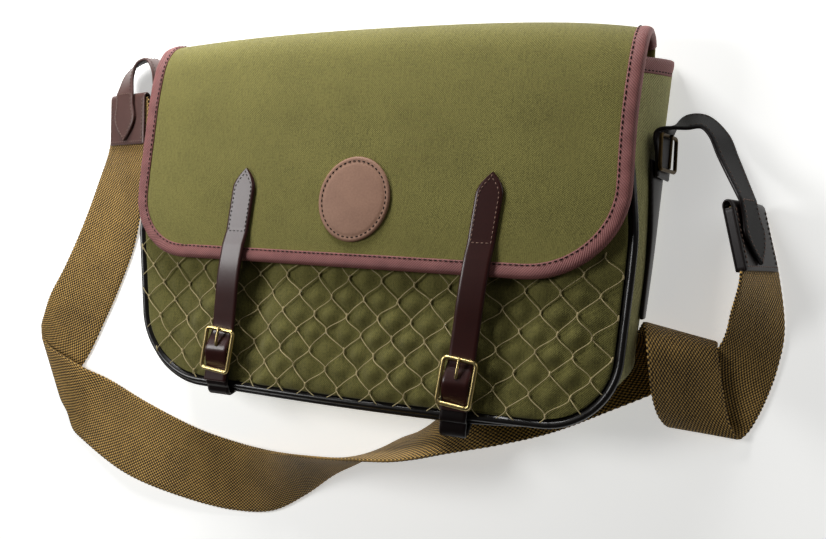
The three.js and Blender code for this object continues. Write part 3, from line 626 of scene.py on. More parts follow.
@dataclass(frozen=True)
class Leather(Finish):
    """Leather with a fine grain.

    Attributes:
        grain: Cells of the grain to the millimetre.
        depth: Depth of the grain, in millimetres.
        coat: Strength of a wax or lacquer coat.
        patchy: How far the colour varies, from 0 to 1.
        hatch: Width of embossed slanting lines, in millimetres, or 0 for none.
        shine: Specular level under the coat.
    """

    grain: float = 0.9
    depth: float = 0.06
    coat: float = 0.0
    patchy: float = 0.5
    hatch: float = 0.0
    shine: float = 0.5

    def dress(self, tree: Tree, surface: Any) -> None:
        """Adds grain, uneven colour and a coat.

        Args:
            tree: The node tree.
            surface: The surface's node.
        """
        pores = self.noise(tree, (self.grain, self.grain), 3.0)
        cloud = self.noise(tree, (0.06, 0.06), 4.0)
        spots = maths(tree, "MULTIPLY", maths(tree, "SUBTRACT", pores, 0.45), 0.8 * self.patchy)
        share = maths(tree, "ADD", spots, maths(tree, "MULTIPLY", cloud, self.patchy))
        relief = pores
        if self.hatch:
            parts = add_node(tree, "ShaderNodeSeparateXYZ", {}, {0: self.pattern(tree)}).outputs
            slant = maths(tree, "ADD", parts[0], parts[1])
            lines = maths(tree, "SINE", maths(tree, "MULTIPLY", slant, 2 * math.pi / self.hatch))
            share = maths(tree, "ADD", share, maths(tree, "MULTIPLY", lines, -0.3))
            relief = maths(tree, "ADD", pores, maths(tree, "MULTIPLY", lines, 0.8))
        share.node.use_clamp = True
        self.mix_colours(tree, surface, share)
        coat = {"Coat Weight": self.coat, "Coat Roughness": 0.22}
        set_inputs(tree, surface, {**coat, "Specular IOR Level": self.shine})
        self.bump(tree, surface, relief, self.depth)


@dataclass(frozen=True)
class Metal(Finish):
    """Polished metal with fine handling marks."""

    def dress(self, tree: Tree, surface: Any) -> None:
        """Adds a metal base with a slightly uneven polish.

        Args:
            tree: The node tree.
            surface: The surface's node.
        """
        cloud = self.noise(tree, (0.25, 0.25), 3.0)
        share = maths(tree, "MULTIPLY", cloud, 0.7)
        self.mix_colours(tree, surface, share)
        rough = maths(tree, "MULTIPLY_ADD", cloud, 0.18, self.roughness - 0.06)
        set_inputs(tree, surface, {"Metallic": 1.0, "Roughness": rough})


@dataclass(frozen=True)
class Lit(Finish):
    """A plain surface that gives off some light.

    Attributes:
        glow: Strength of its light.
    """

    glow: float = 0.3

    def dress(self, tree: Tree, surface: Any) -> None:
        """Adds the colour and the light.

        Args:
            tree: The node tree.
            surface: The surface's node.
        """
        colour = linear(self.colour)
        glow = {"Emission Color": colour, "Emission Strength": self.glow}
        set_inputs(tree, surface, {**glow, "Base Color": colour})


# Cotton duck, woven plain and proofed: a dull olive with a fine grid of threads. Its real threads of
# 0.7 mm are too fine for the picture, so they are drawn at twice that.
CANVAS = Woven("olive_cotton_canvas", "#827c42", "#383516", 0.92, (1.4, 1.4), 0.2, 0.35, 1.3)
# The same cloth in the front panel, coloured darker as painted shade.
SHADED_FRONT_CANVAS = Woven("olive_canvas_painted_shade", "#706b37", "#28250f", 0.92, (1.4, 1.4), 0.2, 0.35, 1.3)
# The same cloth in the gusset, coloured lighter as painted light on its sides, with deeper painted shade in
# its hollows, so its threads stand out more; they are drawn coarser still.
LIT_GUSSET_CANVAS = Woven("olive_canvas_painted_light", "#bab67c", "#504e2a", 0.92, (1.9, 1.9), 0.28, 0.7, 1.0)
# Polypropylene webbing in a close brick weave: tan ribs, with near black painted shade in the hollows
# between them. Its real ribs, about 1.5 by 1 mm, are drawn coarser, so that the picture holds them.
WEBBING = Woven("tan_woven_webbing", "#e4b765", "#21160a", 0.75, (2.3, 2.9), 0.45, 1.5, 0.5)
# Soft dyed leather, folded and drawn tight over the edge, embossed with fine slanting lines that break
# up its dull gloss.
BINDING = Leather("mauve_binding_leather", "#9c635f", "#5c3534", 0.55, 1.3, 0.1, 0.0, 0.8, 1.7, 0.35)
# Bridle leather, waxed and glazed: dark red brown with a clear gloss.
STRAP = Leather("oxblood_bridle_leather", "#37120d", "#1d0705", 0.4, 0.8, 0.04, 0.4, 0.6, shine=0.25)
# Vegetable tanned leather, undyed on top, so it is pale, matt and clouded.
BADGE = Leather("tan_badge_leather", "#a37b63", "#7e5a47", 0.62, 0.7, 0.08, 0.0, 0.9)
# Thin patent leather round a cord: black with a sharp highlight.
PIPING = Leather("black_piping_leather", "#151210", "#0a0908", 0.34, 0.9, 0.03, 0.4, 0.4, shine=0.25)
# Drum dyed leather, lightly waxed: brown with a mauve cast and a soft gloss.
COVER = Leather("brown_cover_leather", "#5f423c", "#3f2926", 0.46, 0.9, 0.05, 0.15, 0.7, shine=0.35)
# The cut back of a leather strap, dyed but not finished: fibrous, black grey and matt.
FLESH = Leather("grey_leather_back", "#191616", "#0b0a0a", 0.6, 1.6, 0.08, 0.0, 0.7, shine=0.15)
# Leather dyed through and rolled smooth: near black, with little gloss: the buckle tabs' own colour.
# The right cover, the right strap end and the billets are coloured with it as painted shade.
TAB_LEATHER_AND_SHADE = Leather("black_tab_leather_and_painted_shade", "#170d0c", "#0a0606", 0.42, 0.8, 0.03, 0.1, 0.5, shine=0.2)
# Cast brass, tumbled and polished: pale yellow with slightly uneven reflections.
BRASS = Metal("polished_brass", "#d6c28a", "#a08448", 0.28)
# The same brass, coloured dark as painted shade on the side buckles, and rougher, so it reflects softly.
SHADED_BRASS = Metal("brass_painted_shade", "#5d4c2e", "#332816", 0.42)
# Cotton twine, laid and left undyed: pale, fibrous and dull.
TWINE = Leather("cotton_net_twine", "#c6b688", "#7d6e48", 0.85, 1.5, 0.1, 0.0, 0.7)
# Sewing thread drawn through wax: smooth, with hardly any gloss.
DARK_THREAD = Finish("dark_waxed_thread", "#20140f", "#20140f", 0.6)
PALE_THREAD = Finish("pale_waxed_thread", "#7d675d", "#7d675d", 0.6)
# A lighter copy of the dark thread: painted sheen on the right flap strap's stitches.
SHEEN_THREAD = Finish("waxed_thread_painted_sheen", "#84685b", "#84685b", 0.6)
EDGE_THREAD = Finish("black_brown_waxed_thread", "#4d3c34", "#4d3c34", 0.6)
# Opal acrylic studio table, matt and lit a little from below, so it stays nearly white.
FLOOR = Lit("white_opal_acrylic", "#f6f6f4", "#f6f6f4", 0.9, 0.52)

FLAP_SEAM = Seam(3.4, 2.4, 0.42)
BADGE_SEAM = Seam(3.3, 2.2, 0.4)
STRAP_SEAM = Seam(2.9, 2.0, 0.34)
EDGE_SEAM = Seam(2.9, 2.0, 0.3)


def row_shift() -> Array:
    """The move from the bag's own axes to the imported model's, from the badge's place in both."""
    low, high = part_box("badge")
    middle = (np.array(low) + np.array(high)) * 500
    return np.array([middle[0] - BADGE_MIDDLE[0], middle[1] - BADGE_MIDDLE[1], 0.0])


def add_piece(
    node: str, kind: str, shape: Shape, finishes: Sequence[Finish], slot: str | None = None
) -> bpy.types.Object:
    """Adds a piece to the scene and to the bag's one body.

    Args:
        node: The CAD node that it stands for or is sewn to.
        kind: What it is made of, for its name.
        shape: Its mesh in the bag's own axes.
        finishes: Its materials, by the shape's kinds.
        slot: The record's material slot, if it stands for its node.

    Returns:
        The object.
    """
    name = f"{node}_{kind}"
    mesh = bpy.data.meshes.new(name)
    mesh.from_pydata(((shape.points + row_shift()) / 1000).tolist(), [], shape.faces)
    built = bmesh.new()
    built.from_mesh(mesh)
    bmesh.ops.recalc_face_normals(built, faces=built.faces)
    built.to_mesh(mesh)
    built.free()
    corners = np.zeros(len(mesh.loops), np.int32)
    mesh.loops.foreach_get("vertex_index", corners)
    layer = mesh.uv_layers.new(name=PATTERN_MAP)
    layer.data.foreach_set("uv", shape.places[corners].astype(np.float32).ravel())
    for finish in finishes:
        mesh.materials.append(finish.material())
    if shape.kinds:
        mesh.polygons.foreach_set("material_index", np.array(shape.kinds, np.int32))
    mesh.polygons.foreach_set("use_smooth", np.ones(len(mesh.polygons), bool))
    mesh.update()
    made = bpy.data.objects.new(name, mesh)
    bpy.context.scene.collection.objects.link(made)
    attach(made, "root")
    if slot is not None:
        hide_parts(node)
    log.info("%s: %d faces", name, len(mesh.polygons))
    return made


NET_MESH = (23.0, 24.2)  # width and height of a mesh of the net
NET_TOP = -22.0  # where its first row of knots is, under the flap
PIPING_HEIGHT = 43.0  # of the piping's middle line


@dataclass(frozen=True)
class BodyForm:
    """The form of the bag's body, which the pieces on it follow.

    Attributes:
        left: Left side of the outline.
        right: Right side of the outline.
        mouth: Height of the mouth along Y.
        bottom: Bottom of the outline.
        left_radius: Radius of the lower left corner.
        right_radius: Radius of the lower right corner.
        bow: How far the bottom bows out.
        side_share: Share of the outline that each side takes.
        straight_share: Share of a side above its corner.
        canvas: Thickness of the canvas.
        gusset_top: Height of the gusset's front edge.
        taper_below: Where the left side starts to run in.
        taper: How fast it runs in.
        seam: Height of the front canvas at its seam.
        crown: How far the front canvas stands up in the middle.
        tuck: How fast the front seam runs in under the flap on the right.
        tuck_from: Where it starts to run in.
        end_rise: How far the gusset's right end stands up past the mouth, at the back and the front.
    """

    left: float = -176.0
    right: float = 176.0
    mouth: float = 92.0
    bottom: float = -124.5
    left_radius: float = 44.0
    right_radius: float = 42.0
    bow: float = 1.8
    taper_below: float = -22.0
    taper: float = 0.2
    side_share: float = 0.36
    straight_share: float = 0.6
    canvas: float = 2.0
    gusset_top: float = 38.85
    seam: float = 44.6
    crown: float = 2.2
    tuck: float = 0.2
    tuck_from: float = -9.0
    end_rise: tuple[float, float] = (9.0, 3.5)

    # Along the outline: how far the gusset's back edge stands outside the front seam, and its bulge.
    GUSSET_AT = (0.0, 0.18, 0.3, 0.42, 0.5, 0.58, 0.66, 0.73, 0.78, 1.0)
    GUSSET_BACK = (2, 0, -8, -14, -32, -43, -36, -6, 3, 4)
    GUSSET_BULGE = (3, 3, 3, 4, 0, -5, -4, 2, 3, 3)
    # Upright valleys of the front canvas: place, depth and width.
    CREASES = ((-68.0, 4.4, 10.0), (12.0, 1.6, 18.0), (112.0, 3.6, 14.0), (-132.0, 1.2, 14.0))
    CREASE_LEAN = 0.12  # their slope, along X for each millimetre of Y
    CREASE_FOOT = -80.0  # the height where they are at their places
    # The corner that the webbing lifts: a point of its line, the line's slope, and the lift.
    LIFT_AT = (72.0, -100.0)
    LIFT_SLOPE = 0.42
    LIFT = 7.5
    TUCK_EASE = 12.0  # how softly the front seam starts to run in

    @property
    def straight(self) -> float:
        """Length of a side above its corner."""
        return self.mouth - self.bottom - self.left_radius

    def plan(
        self, u: Array, v: Array, inset: Array | float = 0.0, front: Array | float = 0.0
    ) -> tuple[Array, Array]:
        """Places in the body's outline.

        Args:
            u: Places across, from 0 to 1.
            v: Places down the sides, from 0 to 1.
            inset: How far the outline is moved inwards.
            front: 0 for the back's outline, 1 for the front seam's.

        Returns:
            The places across and up the upright bag.
        """
        left, right, bottom = self.left + inset, self.right - inset, self.bottom + inset
        left_radius, right_radius = self.left_radius - inset, self.right_radius - inset
        corner = bottom + left_radius
        turn = (v - self.straight_share) / (1 - self.straight_share) * math.pi / 2
        straight = mix(self.mouth, corner, v / self.straight_share)
        y = np.where(turn < 0, straight, corner - left_radius * np.sin(turn))
        taper = self.taper * np.maximum(0, self.taper_below - y)
        past = y - self.tuck_from
        tucked = front * self.tuck * (np.sqrt(past**2 + self.TUCK_EASE**2) + past) / 2
        start = left + taper + turned_in(bottom, left_radius, y)
        x = mix(start, right - turned_in(bottom, right_radius, y) - tucked, u)
        bow = self.bow * np.sin(math.pi * u) * smoothstep(v, self.straight_share, 1)
        return x, y - bow

    def station(self, at: Array) -> tuple[Array, Array]:
        """The outline's u and v at a share of its way from the left end of the mouth to the right one."""
        u = np.clip((at - self.side_share) / (1 - 2 * self.side_share), 0, 1)
        return u, np.clip(np.minimum(at, 1 - at) / self.side_share, 0, 1)

    def stations(self, spacing: float) -> Array:
        """Even stations along the outline.

        Args:
            spacing: Their distance in millimetres.

        Returns:
            Their shares of the outline.
        """
        dense = np.linspace(0, 1, 1601)
        x, y = self.plan(*self.station(dense))
        way = lengths(np.stack([x, y], axis=1))
        return np.interp(np.linspace(0, way[-1], int(way[-1] / spacing)), way, dense)

    def eased(self, values: Sequence[float], at: Array) -> Array:
        """A value along the outline, eased between its rows.

        Args:
            values: The value at each place of GUSSET_AT.
            at: Shares along the outline.

        Returns:
            The value there.
        """
        known, values = np.array(self.GUSSET_AT), np.array(values, float)
        after = np.clip(np.searchsorted(known, at), 1, len(known) - 1)
        return mix(values[after - 1], values[after], smoothstep(at, known[after - 1], known[after]))

    def lift(self, x: Array, y: Array) -> Array:
        """How far the back is lifted where the webbing runs under the bag's corner."""
        past = (x - self.LIFT_AT[0]) * self.LIFT_SLOPE - (y - self.LIFT_AT[1])
        return self.LIFT * smoothstep(past / math.hypot(1, self.LIFT_SLOPE), -28, 30)

    def gusset(self, at: Array | float, w: Array | float, outward: float = 0.0) -> Array:
        """Points of the gusset's middle surface.

        Args:
            at: Shares along the outline.
            w: Shares from its back edge to the front seam.
            outward: How far the points are moved out.

        Returns:
            The points.
        """
        at, w = np.broadcast_arrays(np.asarray(at, float), np.asarray(w, float))
        back = self.eased(self.GUSSET_BACK, at) * (1 - w)
        bulge = self.eased(self.GUSSET_BULGE, at) * 4 * w * (1 - w)
        x, y = self.plan(*self.station(at), -(back + bulge + outward), w)
        foot = self.lift(x + SKEW * y, y) + self.canvas + GAP
        rise = mix(*self.end_rise, w) * smoothstep(at, 0.96, 1)
        return skewed(x, y + rise, mix(foot, self.gusset_top, w))

    def off_gusset(self, at: Array | float, w: Array | float, distance: float) -> Array:
        """Points off the gusset's outer face, square to it.

        Args:
            at: Shares along the outline.
            w: Shares from its back edge to the front seam.
            distance: How far off the middle surface.

        Returns:
            The points.
        """
        here = self.gusset(at, w)
        normal = self.gusset_normal(at, w)
        return here + normal * distance

    def gusset_normal(self, at: Array | float, w: Array | float) -> Array:
        """Unit normals out of the gusset.

        Args:
            at: Shares along the outline.
            w: Shares from its back edge to the front seam.

        Returns:
            The normals.
        """
        w = np.asarray(w, float)
        outward = self.gusset(at, w, 1) - self.gusset(at, w)
        outward[..., 2] = 0
        outward = unit(outward)
        slope = self.gusset(at, w + 0.02) - self.gusset(at, w - 0.02)
        normal = outward * slope[..., 2:]
        normal[..., 2] = -np.sum(slope * outward, axis=-1)
        return unit(normal)

    def side_at(self, side: Side, y: float) -> float:
        """The outline's share at a height on one side."""
        v = np.clip((self.mouth - y) / self.straight, 0, 1) * self.straight_share
        return v * self.side_share if side is Side.LEFT else 1 - v * self.side_share

    def patch(self, inset: float, rows: int, columns: int) -> tuple[Array, Array, Array, Array]:
        """A net of places inside the outline.

        Args:
            inset: How far inside the outline its rim is.
            rows: Its rows.
            columns: Its columns.

        Returns:
            Places across and up, and their shares across and down.
        """
        v = np.linspace(0, 1, rows)
        u = np.linspace(0, 1, columns)
        left = np.stack(self.plan(np.zeros(rows), v, inset, 1.0), axis=-1)
        right = np.stack(self.plan(np.ones(rows), v, inset, 1.0), axis=-1)
        low = np.stack(self.plan(u, np.ones(columns), inset, 1.0), axis=-1)
        down = (left[0, 1] - left[:, 1]) / (left[0, 1] - left[-1, 1])
        sides = mix(left[:, None], right[:, None], u[None, :, None])
        chord = mix(left[-1], right[-1], u[:, None])
        places = sides + down[:, None, None] * (low - chord)[None]
        shares = np.meshgrid(u, v)
        return places[..., 0], places[..., 1], shares[0], shares[1]

    def front(self, x: Array, y: Array, u: Array, v: Array) -> Array:
        """Height of the front canvas: a crown with valleys and soft puckers.

        Args:
            x: Places across the upright bag.
            y: Places up the bag.
            u: Shares across.
            v: Shares down.

        Returns:
            The heights of its middle surface.
        """
        free = 1 - v**8
        crown = self.crown * (1 - np.abs(2 * u - 1) ** 4) * free
        lean = self.CREASE_LEAN * (y - self.CREASE_FOOT)
        valley = sum(
            depth * np.exp(-(((x - at - lean) / wide) ** 2)) for at, depth, wide in self.CREASES
        )
        rim = free * np.clip(4 * u * (1 - u) * 4, 0, 1)
        pucker = 1.3 * ripple(x, y * 0.55, 36, 11) * rim + 0.55 * ripple(x, y, 15, 12) * rim
        across, down = x / NET_MESH[0], (NET_TOP - y) / NET_MESH[1] * 2
        mesh = np.sin(math.pi * (across - down / 2)) ** 2 * np.sin(math.pi * (across + down / 2)) ** 2
        loose = 1.7 + 0.9 * ripple(x, y, 70, 13) + 1.2 * smoothstep(x, -120, 60)
        pillow = loose * mesh * rim * smoothstep(-y, 22, 40)
        return self.seam + np.maximum(-2.5, crown - valley * free + 0.4 * rim + pucker + pillow)


@dataclass
class Shell:
    """The canvas body with its piping and the bindings of the gusset's ends.

    Attributes:
        form: The body's form.
        binding_reach: How far the end bindings reach onto the canvas.
        roll: Radius of the welt's second roll along the bottom.
        roll_aside: How far that roll lies outside the piping, and below it.
        roll_reach: Where along the outline it starts and ends.
        roll_taper: Share of the outline in which it runs out.
        panel_inset: How far inside the outline the front canvas ends.
        welt: Least radius of the piping's section, and what its lobes add.
        welt_turn: How far the lobes are turned, in radians.
        binding_seam: How far in from the gusset's end its stitches are.
    """

    form: BodyForm
    binding_reach: float = 8.0
    roll: float = 2.0
    roll_aside: tuple[float, float] = (3.4, 2.0)
    roll_reach: tuple[float, float] = (0.2, 0.68)
    roll_taper: float = 0.1
    panel_inset: float = 3.35
    welt: tuple[float, float] = (2.15, 0.85)
    welt_turn: float = 0.9
    binding_seam: float = 6.6

    def build(self) -> None:
        """Builds all the pieces."""
        self.back()
        self.front()
        self.gusset()
        self.piping()
        for side in Side:
            self.end_binding(side)

    def back(self) -> None:
        """The panel that the bag lies on."""
        form = self.form
        at = form.stations(6)
        inset = form.canvas / 2 + GAP - form.eased(form.GUSSET_BACK, at)
        x, y = form.plan(*form.station(at), inset)
        share = np.linspace(0, 1, 26)[None]
        mouth = np.linspace(x[0], x[-1], len(at))[:, None]
        across = mix(mouth, x[:, None], share)
        up = mix(form.mouth + 2 * (1 - share), y[:, None], share)
        grid = skewed(across, up, form.lift(across + SKEW * up, up) + form.canvas / 2)
        shape = sheet(grid, form.canvas)
        shape.places = np.array(shape.points[:, :2])
        piece = add_piece("back_panel", "cloth", shape, [CANVAS], "canvas")

    def front(self) -> None:
        """The puffed panel under the net."""
        form = self.form
        x, y, u, v = form.patch(self.panel_inset, 110, 170)
        grid = skewed(x, y, form.front(x, y, u, v))
        shape = sheet(grid, form.canvas)
        shape.places = np.array(shape.points[:, :2])
        # Its canvas is coloured darker than the flap's as painted shade.
        piece = add_piece("front_panel", "cloth", shape, [SHADED_FRONT_CANVAS], "canvas")

    def gusset(self) -> None:
        """The strip round the sides and the bottom."""
        form = self.form
        at = form.stations(3)[:, None]
        w = np.linspace(0, 1, 16)[None]
        grid = form.gusset(at, w)
        ends = np.minimum(1, 12 * np.minimum(at, 1 - at))
        swell = 0.7 * ripple(at * 760, w * 40, 60, 5) * np.sin(math.pi * w) * ends
        grid = grid + form.gusset_normal(at, w) * swell[..., None]
        shape = sheet(grid, form.canvas)
        # Its canvas is coloured lighter as painted light, with deeper painted shade in its hollows.
        piece = add_piece("gusset", "cloth", shape, [LIT_GUSSET_CANVAS], "gusset_canvas")

    def piping(self) -> None:
        """The welt on the front seam: a covered cord beside a turned edge, so its section has two lobes."""
        form = self.form
        at = form.stations(2.5)
        x, y = form.plan(*form.station(at), 0.0, 1.0)
        middle = skewed(x, y, PIPING_HEIGHT)
        _, up, aside = path_frames(middle, UP)
        turn = np.linspace(0, 2 * math.pi, 22, endpoint=False)
        lobes = self.welt[0] + self.welt[1] * np.abs(np.cos(turn - self.welt_turn)) ** 1.3
        ring = up[:, None] * np.cos(turn)[:, None] + aside[:, None] * np.sin(turn)[:, None]
        shape = joined([loft(middle[:, None] + ring * lobes[:, None]), self.second_roll(at)])
        add_piece("front_piping", "leather", shape, [PIPING], "piping_leather")

    def second_roll(self, at: Array) -> Shape:
        """The gusset's turned edge, which stands out as a second roll below the piping along the bottom.

        Args:
            at: Shares along the outline.

        Returns:
            The roll, which runs into the piping at both ends.
        """
        form = self.form
        start, stop = self.roll_reach
        at = at[(at > start) & (at < stop)]
        share = smoothstep(at, start, start + self.roll_taper)
        share = share * smoothstep(-at, -stop, self.roll_taper - stop)
        x, y = form.plan(*form.station(at), -self.roll_aside[0] * share, 1.0)
        line = skewed(x, y, PIPING_HEIGHT - self.roll_aside[1] * share)
        return tube(line, mix(0.6, self.roll, share), 14, UP)

    def end_binding(self, side: Side) -> None:
        """The leather folded over the gusset's end at the mouth.

        Args:
            side: The gusset's side.
        """
        form = self.form
        profile = binding_profile(form.canvas / 2 + 0.1, self.binding_reach)
        w = np.linspace(0.07, 1.0, 16)
        rings = []
        for inward, up in profile:
            at = form.side_at(side, form.mouth - max(inward, 0))
            row = form.off_gusset(at, w, up)
            row[:, 1] -= min(inward, 0)
            rings.append(row)
        shape = loft(np.array(rings).swapaxes(0, 1))
        name = f"gusset_binding_{side.value}"
        add_piece(name, "leather", shape, [BINDING], "binding_leather")
        at = form.side_at(side, form.mouth - self.binding_seam)
        path = form.off_gusset(at, w, form.canvas / 2 + 1.0)
        thread = Seam().along(path, form.gusset_normal(at, w))
        add_piece(name, "stitches", thread, [DARK_THREAD])


# A binding's face: distance back from its inner edge, and height over the cloth's face.
BINDING_FACE = (
    (0.0, 0.15), (0.25, 0.62), (0.8, 0.82), (1.5, 0.84), (2.4, 1.08),
    (3.8, 1.42), (5.4, 1.55), (6.8, 1.42), (8.0, 1.02),
)


def binding_profile(half: float, reach: float) -> Array:
    """The section of leather folded over a cloth's edge.

    Args:
        half: Half the thickness of what it is folded over.
        reach: How far it reaches in from the edge.

    Returns:
        A closed ring of distances in from the edge and off the cloth's middle.
    """
    top = [(reach - back, half + up) for back, up in BINDING_FACE]
    turn = [(reach - 9.0, half * 0.55), (reach - 9.35, 0.0), (reach - 9.0, -half * 0.6)]
    low = [(reach - back, -half - up) for back, up in BINDING_FACE[::-1]]
    inside = [
        (reach - 0.1, -half),
        (reach * 0.5, -half),
        (0.25, -half),
        (-0.1, 0.0),
        (0.25, half),
        (reach * 0.5, half),
        (reach - 0.1, half),
    ]
    return np.array(top + turn + low + inside)


@dataclass
class Flap:
    """The canvas flap with its binding and badge.

    Attributes:
        left: Its left edge.
        right: Its right edge.
        low: Its lower edge.
        left_radius: Radius of the lower left corner.
        right_radius: Radius of the lower right corner.
        tilt: How far its right edge runs in towards the mouth.
        sag: How far its sides sag.
        arch: How far its fold arches up in the middle.
        drop: How far the fold's right end drops.
        canvas: Thickness of the canvas.
        reach: How far the binding reaches in.
        binding_end: Height on the back where the binding ends.
        binding_room: Clearance between the canvas and its binding.
        badge_size: Width and height of the badge.
        badge_seam: Where the badge's stitches are, as a share of its radius.
    """

    left: float = -175.0
    right: float = 172.5
    low: float = -38.0
    left_radius: float = 44.0
    right_radius: float = 56.0
    tilt: float = 3.6
    sag: float = 2.0
    arch: float = 6.5
    drop: float = 4.0
    canvas: float = 2.4
    reach: float = 8.2
    binding_end: float = 7.0
    binding_room: float = 0.12
    badge_size: tuple[float, float] = (50.0, 55.0)
    badge_seam: float = 0.895

    FRONT = 52.6  # the section is the flap's front above this height
    ROW = 3.0  # distance between the rows above the corners

    # The middle line from the lower edge, over the mouth, to the seam on the back: Y and Z.
    SECTION = (
        (-38, 53.6), (0, 54.6), (45, 54.6), (80, 53.6), (101, 49.0),
        (112, 39.0), (116.5, 25.0), (113, 12.0), (105, 4.2), (96.3, 1.35),
    )
    # The badge from the middle of its face to its back: shares of the radius, and heights over the flap.
    BADGE_SECTION = (
        (0.02, 2.55), (0.3, 2.52), (0.6, 2.42), (0.78, 2.3), (0.84, 2.2),
        (0.865, 1.95), (0.9, 2.0), (0.93, 2.2), (0.965, 2.1), (0.99, 1.7),
        (1.0, 1.1), (0.992, 0.4), (0.97, 0.1), (0.5, 0.1), (0.02, 0.1),
    )

    def __post_init__(self) -> None:
        """Works out the flap's section once."""
        points = np.array([(0.0, y, z) for y, z in self.SECTION])
        self.curve = smooth_points(points, 24)
        turn = np.radians(np.linspace(0, 90, 22))
        y = self.low + self.right_radius * (1 - np.cos(turn))
        corner = np.stack([np.zeros_like(y), y, self.front_height(y)], axis=1)
        above = self.curve[int(np.argmax(self.curve[:, 1] > y[-1] + self.ROW / 2)) :]
        even = resampled(above, np.arange(0, lengths(above)[-1], self.ROW))[0]
        self.rows = np.vstack([corner, even, self.curve[-1:]])

    def front_height(self, y: Array) -> Array:
        """Height of the front's middle line at places up the bag."""
        front = self.curve[: int(np.argmax(self.curve[:, 1]))]
        return np.interp(y, front[:, 1], front[:, 2])

    def swell(self, x: Array, y: Array) -> Array:
        """The soft unevenness of the flap's front."""
        return 0.55 * ripple(x, y, 95, 3) * smoothstep(110 - y, 0, 50)

    def point(self, row: Array, u: Array) -> Array:
        """Points of the flap's middle surface.

        Args:
            row: Places of the section.
            u: Shares across.

        Returns:
            The points.
        """
        y, z = row[:, 1][:, None], row[:, 2][:, None]
        on_front = z > self.FRONT
        radii = (self.left_radius, self.right_radius)
        corners = [np.where(on_front, turned_in(self.low, radius, y), 0) for radius in radii]
        right = self.right - self.tilt * smoothstep(y, -15, 65) - corners[1]
        x = mix(self.left + corners[0], right, u[None])
        share = x / self.right
        front = smoothstep(z, 39, 53.6)
        fold = np.minimum(smoothstep(y, 60, 108), smoothstep(z, 2, 25))
        arch = (self.arch * (1 - np.abs(share) ** 2.4) - self.drop * np.maximum(share, 0) ** 6) * fold
        height = z - self.sag * share**4 * front + self.swell(x, y) * front
        return skewed(x, y + arch, height)

    def top(self, x: Array, y: Array) -> Array:
        """Height of the flap's upper face near its front."""
        sagged = self.front_height(y) - self.sag * (x / self.right) ** 4
        return sagged + self.swell(x, y) + self.canvas / 2

    def build(self) -> None:
        """Builds all the pieces."""
        grid = self.cloth()
        self.binding(grid)
        self.badge()

    def cloth(self) -> Array:
        """The canvas.

        Returns:
            The grid of its middle surface.
        """
        grid = self.point(self.rows, np.linspace(0, 1, 120))
        shape = sheet(grid, self.canvas)
        piece = add_piece("flap", "cloth", shape, [CANVAS], "canvas")
        return grid

    def binding(self, grid: Array) -> None:
        """The leather folded over the flap's edge, with its stitches.

        Args:
            grid: The flap's middle surface.
        """
        normals = grid_normals(grid)
        low = int(np.argmin(grid[:, 0, 2] > self.binding_end))
        left = [(i, 0) for i in range(low - 1, 0, -1)]
        bottom = [(0, j) for j in range(grid.shape[1])]
        right = [(i, grid.shape[1] - 1) for i in range(1, low)]
        order = np.array(left + bottom + right)
        path, up = grid[order[:, 0], order[:, 1]], normals[order[:, 0], order[:, 1]]
        count = int(lengths(path)[-1] / 2.6)
        path, up = resampled(path, np.linspace(0, lengths(path)[-1], count), up)
        for _ in range(3):
            path[1:-1] = (path[:-2] + 2 * path[1:-1] + path[2:]) / 4
            up[1:-1] = (up[:-2] + 2 * up[1:-1] + up[2:]) / 4
        ahead, up, _ = path_frames(path, up)
        inwards = np.cross(up, ahead)
        profile = binding_profile(self.canvas / 2 + self.binding_room, self.reach)
        tight = 1 + 0.06 * np.sin(lengths(path) / 3.2 * 2 * math.pi)
        rise = profile[:, 1][None, :, None] * tight[:, None, None]
        rings = path[:, None] + inwards[:, None] * profile[:, 0][None, :, None] + up[:, None] * rise
        add_piece("flap_binding", "leather", loft(rings), [BINDING], "binding_leather")
        height = self.canvas / 2 + self.binding_room + 0.9
        sewn = path + inwards * (self.reach - 1.1) + up * height
        add_piece("flap_binding", "stitches", FLAP_SEAM.along(sewn, up), [DARK_THREAD])

    def badge(self) -> None:
        """The oval leather badge: a bare face inside a pressed line and a row of stitches."""
        wide, high = self.badge_size
        turn = np.linspace(0, 2 * math.pi, 96, endpoint=False)
        rings = []
        for share, up in self.BADGE_SECTION:
            x = share * wide / 2 * np.cos(turn)
            y = BADGE_MIDDLE[1] + share * high / 2 * np.sin(turn)
            rings.append(skewed(x, y, self.top(x, y) + up))
        shape = loft(np.array(rings))
        shape.places = np.array(shape.points[:, :2])
        add_piece("badge", "leather", shape, [BADGE], "badge_leather")
        turn = np.linspace(0, 2 * math.pi, 241)
        x = self.badge_seam * wide / 2 * np.cos(turn)
        y = BADGE_MIDDLE[1] + self.badge_seam * high / 2 * np.sin(turn)
        path = skewed(x, y, self.top(x, y) + 2.05)
        add_piece("badge", "stitches", BADGE_SEAM.along(path, UP), [DARK_THREAD])


def pointed(width: float, distance: Array, length: float) -> Array:
    """Half width of a pointed strap at distances from its tip."""
    share = np.clip(distance / length, 0.004, 1)
    return width / 2 * (1 - (1 - share) ** 1.8)


def strap_grid(middle: Array, half: Array) -> Array:
    """The middle surface of a strap from its middle line and half its width at each point."""
    share = np.linspace(-1, 1, 9)
    return middle[:, None] + ACROSS * (half[:, None] * share)[..., None]


